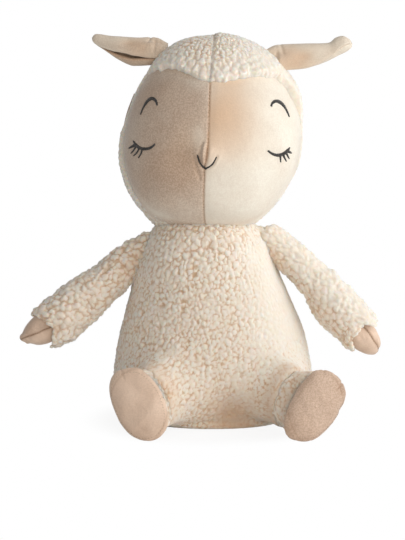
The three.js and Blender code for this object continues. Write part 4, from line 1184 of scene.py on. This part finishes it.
def make_arm(name):
    """A sleeve with its turned-in cuff, its filling and its hoof."""
    m, side = ARM[name], SIDES[name]
    _, r, middle = SLEEVE[name][-1]
    rows = sleeve_rows(name)
    rows += [disc(z, r + more, middle) for z, more in
             ((109, -0.6), (111.8, -1.8), (112.4, -4.0), (108, -6.5), (100, -8.0))]
    p = skin(rows, 190, 170)
    edge = np.array(CUFF[name])
    front = np.interp(p[..., 1] - middle, edge[:, 0], edge[:, 1])
    facing = step(-p[..., 0] * side, -6, 6)
    shift = CUFF_BACK[name] + (front - CUFF_BACK[name]) * facing
    p[..., 2] += shift * step(p[..., 2], 88, 110)
    p = moved(m, p)
    n = normals(p)
    high, z = unmoved(m, p)[..., 1], unmoved(m, p)[..., 2]
    out = 0.8 * noise(p, 22, 1) + 0.5 * noise(p, 9, 2) - 1.3
    rows_at = np.arange(p.shape[0])[:, None] / p.shape[0]
    hold = np.maximum(step(rows_at, 0.82, 0.9), 1 - step(z, 5, 20))
    base = puffed(p + n * out[..., None], hold, 0.9, 5, 5, 0.03)
    calm = step(rows_at, 0.96, 0.99) * 0.8 + 0 * z
    # pale: painted light on top of the left arm, which the key lamp lights.
    pale = 0.5 * step(high, -5, 9) * (side > 0)
    raised, fields = fleece(base, n, 5.9, 2.2, 60 + side, calm, pale)
    root, end = 1 - step(z, 10, 36), 1 - step(z, 70, 105)
    # Painted shade under the arm, most at its root and a little towards the cuff.
    fields["warm"] = (0.5 * root + (0.08 + 0.06 * (side > 0)) * end) * (1 - step(high, -6, 10))
    add_piece(f"sleeve_fleece_{name}", raised, grid_faces(raised), fields, FLEECE,
              f"{name}_arm", f"sleeve_{name}")
    inner = [row for row in sleeve_rows(name, -5.5) if 0 < row[0] < 85]
    inner = [disc(-2, 0), *inner, disc(93, 9), disc(118, 8), disc(124, 0)]
    filling(f"arm_filling_{name}", inner, m, f"{name}_arm", f"arm_stuffing_{name}", 60, 40)
    make_hand(name)


# Each hoof as (along, radius, height of its middle), and its seam as (along, height)
HOOF = {
    "left": [(107, 13.9, 0), (114, 13.6, -0.3), (121, 12.6, -0.6), (127, 10.9, -0.8), (131.5, 8.9, -1.0),
             (135.6, 5.6, -1.3), (137.4, 2.8, -1.4), (138, 0, -1.5)],
    "right": [(107, 13.9, 0), (114, 13.9, 0.2), (120, 12.9, 0.9), (126, 10.6, 2.0), (130.5, 7.8, 3.1),
              (134, 4.8, 4.4), (136, 2.5, 5.3), (137, 0, 5.8)],
}
HOOF_SPLIT = {
    "left": [(98, 9.0), (108, 8.7), (120, 7.7), (133, 4.0), (137.5, 1.5)],
    "right": [(98, -2.0), (108, -0.2), (120, 3.0), (134, 6.2), (137, 5.8)],
}
# How deep and how wide the groove between each hoof's panels is
HOOF_GROOVE = {"left": (1.7, 1.0), "right": (0.7, 0.6)}
HOOF_STITCH_ROWS = np.arange(18, 72)
# How much painted shade each hoof's panels get
HOOF_PAINTED_SHADE = {"left": {"upper": 0.0, "lower": 0.1}, "right": {"upper": 0.25, "lower": -0.1}}


def make_hand(name):
    """A hoof of two suede panels, stitched along its seam."""
    m, bow = ARM[name], ARM_BOW[name]
    rows = [disc(z, r, share * bow) for z, r, share in ((86, 9.5, 0.4), (92, 11.8, 0.37), (100, 13.2, 0.2))]
    p = skin(rows + [disc(*row) for row in HOOF[name]], 76, 120)
    line = np.array(HOOF_SPLIT[name])
    split = np.interp(p[..., 2], line[:, 0], line[:, 1])
    across = p[..., 1] - split
    p = puffed(p, np.maximum(near(across, 2), step(114 - p[..., 2], 0, 5)), 0.8, 4, 5, 0.03)
    n = normals(p)
    tip = step(p[..., 2], 126, 134)
    depth, width = HOOF_GROOVE[name]
    facing = np.where(p[..., 0] * SIDES[name] > 0, 1.0, 0.6)
    groove = depth * near(across, width) * facing + 0.9 * near(across, 5)
    lump = 0.35 * noise(p, 9, 2) + 0.15 * noise(p, 4, 3)
    q = p + n * (lump - groove * (1 - 0.4 * tip))[..., None]
    world = moved(m, q)
    faces = grid_faces(q)
    centre = across.reshape(-1)[faces].mean(axis=1)
    # tone: painted shade along the seam's groove, and random tone
    tone = np.clip(0.7 * near(across, 0.5 + 0.7 * width) + 0.12 + 0.25 * noise(p, 10, 4), 0, 1)
    for part, chosen in (("upper", centre >= 0), ("lower", centre < 0)):
        fields = {"tone": tone, "nap_and_painted_shade": HOOF_PAINTED_SHADE[name][part] + 0 * tone}
        add_piece(f"hoof_{part}_{name}", world, faces[chosen], fields, SUEDE,
                  f"{name}_arm", f"hand_{part}_{name}")
    paths = []
    wn = normals(world)
    at = HOOF_STITCH_ROWS
    for sign in (-1, 1):
        ids = [int(np.argmin(np.abs(across[k]) + 99 * (p[k, :, 0] * sign < 0))) for k in at]
        paths += stitches(world[at, ids], wn[at, ids], 2.3, 1.3, 0.2, 0.3, 0.4)
    add_threads(f"hoof_stitches_{name}", paths, WORLD, DARK_SEWING, f"{name}_arm")


# Legs: a fleece tube, a suede band and an oval sole

# How much painted shade each sole gets
SOLE_PAINTED_SHADE = {"left": 0.6, "right": 0.15}
# Each sole's outline as (degrees, share of its oval)
SOLE_REACH = {
    "right": [(0, .94), (15, .96), (29, .99), (41, 1.04), (51, 1.09), (57, 1.10), (68, 1.08), (79, 1.07),
              (89, 1.09), (103, 1.11), (115, 1.08), (124, 1.04), (136, .99), (147, .93), (161, .87),
              (178, .85), (205, .87), (226, .90), (245, .93), (268, .95), (297, .97), (315, .97),
              (335, .93), (348, .92)],
    "left": [(14, .92), (27, 1.01), (36, 1.06), (45, 1.09), (55, 1.05), (66, 1.02), (104, 1.02), (125, 1.03),
             (131, .99), (140, .93), (153, .89), (166, .85), (178, .83), (192, .90), (206, .97), (219, 1.03),
             (228, 1.09), (240, 1.11), (252, 1.07), (262, 1.01), (277, .96), (298, .91), (309, .88),
             (323, .85), (339, .84), (357, .86)],
}
# The deepest pleat at each sole's edge: its share, its place in degrees and its width in radians
SOLE_TUCK = {"left": (0.4, 150, 0.04), "right": (1, 88, 0.045)}
# How far the shoe runs sideways and down behind its sole, per millimetre
SHOE_SHEAR = {"left": (-0.32, 0.11), "right": (0.19, 0.11)}


SHOE_SIZE = (FOOT_SIZE[0] + 1.6, FOOT_SIZE[1] + 0.6)
SHOE_DEPTH = 11
SOLE_STITCH_ROW = 16


def shoe_span(name):
    """Where along the leg its fleece ends and where the sole's edge lies."""
    end = FOOT[name][2] - 3
    return end - SHOE_DEPTH, end


def leg_skin(name, rows, count, around):
    """A skin of the leg's or shoe's rows, whose ovals take on the outline of the sole."""
    start, _ = shoe_span(name)

    def outline(angle, z):
        return 1 + (ring_values(SOLE_REACH[name], angle) - 1) * step(z, start - 12, start + 4)

    return skin(rows, count, around, reach=outline)


def leg_ring(name, z, size):
    """A row near the foot, its oval a share of the sole's."""
    foot, (start, end) = FOOT[name], shoe_span(name)
    drift = np.interp(z / foot[2], LEG_SHAPE[:, 0], LEG_SHAPE[:, 2])
    behind = min(z - end, 0) if z > start else -SHOE_DEPTH * float(step(z, 0.3 * start, start))
    x, y = (drift * f + k * behind for f, k in zip(foot, SHOE_SHEAR[name]))
    width, height = (size * reach for reach in SHOE_SIZE)
    return (z, width, height, height, x, y, drift * -SIDES[name] * math.radians(FOOT_TILT))


def make_leg_tube(name):
    """The fleece between the body and the shoe."""
    start, _ = shoe_span(name)
    rows = [r for r in leg_rows(name, -2.5) if r[0] < start - 9]
    rows += [leg_ring(name, start + more, size) for more, size in
             ((-4, 0.91), (0.6, 0.88), (1.6, 0.84), (-2, 0.79))]
    p = moved(LEG[name], leg_skin(name, rows, 96, 180))
    n = normals(p)
    rows_at = np.arange(p.shape[0])[:, None] / p.shape[0]
    out = 0.7 * noise(p, 24, 1) + 0.4 * noise(p, 10, 2) - 1.3
    hold = np.maximum(step(rows_at, 0.75, 0.85), step(-body_distance(p), 0, 6))
    base = puffed(p + n * out[..., None], hold, 1.2, 5, 6, 0.04)
    calm = 0.8 * step(rows_at, 0.9, 0.97) + 0 * out
    raised, fields = fleece(base, n, 4.9, 1.5, 70 + SIDES[name], calm)
    # Painted shade in the recess where the leg meets the shoe.
    fields["warm"] = 0.3 * step(rows_at, 0.72, 0.88) + 0 * out
    raised[..., 2] = np.maximum(raised[..., 2], FLOOR_GAP)
    add_piece(f"leg_fleece_{name}", raised, grid_faces(raised), fields, FLEECE,
              f"{name}_foot", f"leg_{name}")


def make_shoe(name):
    """The sole with its gathered edge, the band behind it and the stitches between them."""
    m, foot, (start, end) = LEG[name], FOOT[name], shoe_span(name)
    band = [(start - 6, 0.78), (start - 1, 0.84), (start + 3, 0.89), (start + 7, 0.94),
            (end - 1, 0.975), (end + 0.4, 0.965), (end + 1.0, 0.9), (end + 0.4, 0.8)]
    sole = [(end - 1.5, 0.8), (end - 1.2, 0.94), (end + 0.4, 0.99), (end + 2.4, 0.965),
            (foot[2] + 2.0, 0.86), (foot[2] + 4.4, 0.66), (foot[2] + 6.0, 0.4), (foot[2] + 6.6, 0.18),
            (foot[2] + 6.7, 0)]
    columns = 190
    angle = np.linspace(0, 2 * np.pi, columns, endpoint=False)
    rng = np.random.default_rng(90 + SIDES[name])
    pleats = sum(rng.random() * near(np.angle(np.exp(1j * (angle - a))), 0.035 + 0.03 * rng.random())
                 for a in rng.random(26) * 2 * np.pi)
    share, at, wide = SOLE_TUCK[name]
    tucked = share * near(angle - math.radians(at), wide)
    for label, rows, count in (("sole", sole, 60), ("foot_band", band, 40)):
        grid = leg_skin(name, [leg_ring(name, z, size) for z, size in rows], count, columns)
        g = moved(m, grid)
        flat = np.hypot((grid[..., 0] - foot[0]) / SHOE_SIZE[0], (grid[..., 1] - foot[1]) / SHOE_SIZE[1])
        if label == "sole":
            hold = np.maximum(step(flat, 0.4, 0.92), 1 - step(grid[..., 2], end, end + 2))
            g = puffed(g, hold, 0.35, 6, 10, 0.01)
        gn = normals(g)
        rim = step(flat, 0.78, 0.96) if label == "sole" else 1.0
        wave = 0.4 * noise(g, 13, 5) + 0.2 * noise(g, 6, 6)
        g = g + gn * (wave - 0.5 * pleats * rim - 1.6 * tucked * rim)[..., None]
        g[..., 2] = np.maximum(g[..., 2], FLOOR_GAP)
        # tone: random, with painted shade in the pleats, the deepest pleat and along the sole's edge
        tone = 0.1 + 0.2 * noise(g, 14, 7) + 0.2 * pleats * rim + 0.7 * tucked * rim
        tone = np.clip(tone + 0.3 * near(flat - 1.0, 0.03), 0, 1)
        fields = {"tone": tone, "nap_and_painted_shade": SOLE_PAINTED_SHADE[name] + 0 * tone}
        add_piece(f"{label}_suede_{name}", g, grid_faces(grid), fields, SUEDE,
                  f"{name}_foot", f"{label}_{name}")
        if label == "sole":
            line, out = (np.r_[v[SOLE_STITCH_ROW], v[SOLE_STITCH_ROW, :1]] for v in (g, gn))
    paths = stitches(line, out, 2.6, 1.5, 0.2, 0.25, 0.4)
    add_threads(f"sole_stitches_{name}", paths, WORLD, SEWING, f"{name}_foot")


def make_leg(name):
    """A leg's fleece, its shoe and its filling."""
    make_leg_tube(name)
    make_shoe(name)
    foot, rows = FOOT[name], leg_rows(name)
    inner = [disc(-16, 0)]
    inner += [(r[0] * 0.93, *(max(v - 6, 6) for v in r[1:4]), *r[4:]) for r in rows[2:]]
    inner.append((foot[2] - 2, 0, 0, 0, foot[0], foot[1], rows[-1][6]))
    filling(f"leg_filling_{name}", inner, LEG[name], f"{name}_foot", f"leg_stuffing_{name}", 50, 50)


# Tail, wads at the joints and the bag of pellets

TAIL_ROWS = [(-7, 0), (-4, 5.6), (0, 7.4), (5.4, 8.6), (12.15, 10), (19.44, 8.8), (24.84, 5.2), (27, 0)]


def make_tail():
    """A short fleece tail low on the back."""
    drop = math.radians(TAIL_DROP)
    m = place(TAIL, (0, math.cos(drop), -math.sin(drop)))
    p = moved(m, skin([disc(*row) for row in TAIL_ROWS], 46, 66))
    n = normals(p)
    raised, fields = fleece(p - n * 1.2, n, 4.9, 2.5, 80)
    piece = add_piece("tail_fleece", raised, grid_faces(raised), fields, FLEECE,
                      "rump_tail", "tail")


# The neck's wad hangs this far below the top of the neck; the others sit on their joints
NECK_WAD_DROP, NECK_WAD_RADIUS, NECK_WAD_SQUASH = 24, 31, 0.68
WAD_ROUGHNESS = 0.3
LIMB_WADS = (("shoulder", SHOULDER, 6.6), ("hip", HIP, 8.6))


def make_wads():
    """The firm wads of filling that the toy bends at."""
    neck = (NECK[0], 0, NECK[2] + NECK_RADIUS - NECK_WAD_DROP)
    shapes = [("neck_filling", neck, ball_rows(NECK_WAD_RADIUS, NECK_WAD_SQUASH), "neck", "neck_wad")]
    for name in SIDES:
        for joint, at, radius in LIMB_WADS:
            shapes.append((f"{joint}_filling_{name}", at[name], ball_rows(radius), f"{name}_{joint}",
                           f"{joint}_wad_{name}"))
    for name, at, rows, body, node in shapes:
        filling(name, rows, placed(at), body, node, 24, 32, rough=WAD_ROUGHNESS)


POUCH_CENTRE = (0, 14, 18)
POUCH_HALF = (52, 38, 12)


def make_pellets():
    """The pouch of pellets in the seat."""
    width, depth, height = POUCH_HALF
    rows = [(z * height, r * width, r * depth, r * depth, 0, 0, 0) for z, r in
            ((-1, 0), (-0.95, 0.6), (-0.5, 0.93), (0, 1), (0.5, 0.9), (0.9, 0.55), (1, 0))]
    p = skin(rows, 50, 90)
    dents = 0.8 + 0.5 * noise(p, 3.2, 6) + 1.2 * np.abs(noise(p, 18, 2))
    p = p - normals(p) * dents[..., None]
    piece = add_piece("pellet_pouch", moved(placed(POUCH_CENTRE), p), grid_faces(p), None, FIBRE,
                      "torso", "pellet_bag")


# Stage, light and camera

FLOOR_HALF = 4.0


def make_stage():
    """A pale floor that keeps the shadow, and a room that lights the toy and looks white."""
    r = FLOOR_HALF
    floor = mesh_object("floor", [(-r, -r, 0), (r, -r, 0), (r, r, 0), (-r, r, 0)], [(0, 1, 2, 3)])
    m = cloth_nodes("pale_floor", Roughness=0.9, Base_Color=(0.92, 0.92, 0.92, 1), Specular_IOR_Level=0.1)
    light = m.add("Emission", Color=(1, 1, 1, 1), Strength=1.0)
    far = m.add("VectorMath", {"operation": "LENGTH"}, _0=m.place()).outputs["Value"]
    share = m.math("MULTIPLY", m.seen(), m.span(far, 0.085, 0.125, 0.9, 1.0))
    both = m.add("MixShader", _0=share, _1=m.shader.outputs[0], _2=light.outputs[0])
    m.tree.links.new(both.outputs[0], m.tree.nodes["Material Output"].inputs["Surface"])
    floor.data.materials.append(m.owner)

    scene.world = bpy.data.worlds.new("studio")
    w = Nodes(scene.world)
    plain = w.tree.nodes["Background"]
    plain.inputs["Color"].default_value = (1, 1, 1, 1)
    plain.inputs["Strength"].default_value = 0.36
    white = w.add("Background", Color=(1, 1, 1, 1), Strength=1.0)
    mix = w.add("MixShader", _0=w.seen(), _1=plain.outputs[0], _2=white.outputs[0])
    w.tree.links.new(mix.outputs[0], w.tree.nodes["World Output"].inputs["Surface"])


LAMP_AIM_HEIGHT = 0.15
# Each lamp: degrees from the camera's side, degrees up, distance, size, power and colour
LAMPS = {
    "key": (78, 25, 1.5, 1.4, 10, (0.98, 1, 1.01)),
    "side": (54, 22, 1.5, 1.2, 6.6, (1, 1, 1)),
    "front": (12, 9, 1.8, 0.7, 6.3, (1, 0.88, 0.74)),
}


def make_lamp(name, azimuth, elevation, distance, size, power, colour):
    """A soft square lamp that points at the toy."""
    a, e = math.radians(azimuth), math.radians(elevation)
    way = np.array([math.sin(a) * math.cos(e), -math.cos(a) * math.cos(e), math.sin(e)])
    data = bpy.data.lights.new(name, "AREA")
    data.shape, data.size, data.energy, data.color = "SQUARE", size, power, colour
    obj = linked(name, data)
    obj.location = way * distance + np.array([0, 0, LAMP_AIM_HEIGHT])
    obj.rotation_euler = (math.pi / 2 - e, 0, a)


CAMERA_LENS = 118.53
CAMERA_RISE = math.radians(7)
CAMERA_DISTANCE = 1.6
CAMERA_AIM = (-0.00945, 0.1361)


def make_view():
    """The lamps, and a camera at the photograph's angle."""
    for name, values in LAMPS.items():
        make_lamp(name, *values)
    data = bpy.data.cameras.new("camera")
    data.lens, data.sensor_width, data.sensor_fit = CAMERA_LENS, 36, "AUTO"
    camera = linked("camera", data)
    across, up = CAMERA_AIM
    camera.location = (across, -CAMERA_DISTANCE * math.cos(CAMERA_RISE),
                       up + CAMERA_DISTANCE * math.sin(CAMERA_RISE))
    camera.rotation_euler = (math.pi / 2 - CAMERA_RISE, 0, 0)
    scene.camera = camera
    scene.view_settings.view_transform = "Standard"


make_view()
make_stage()
make_body()
make_head()
for key in SIDES:
    make_ear(key)
    make_arm(key)
    make_leg(key)
make_tail()
make_wads()
make_pellets()
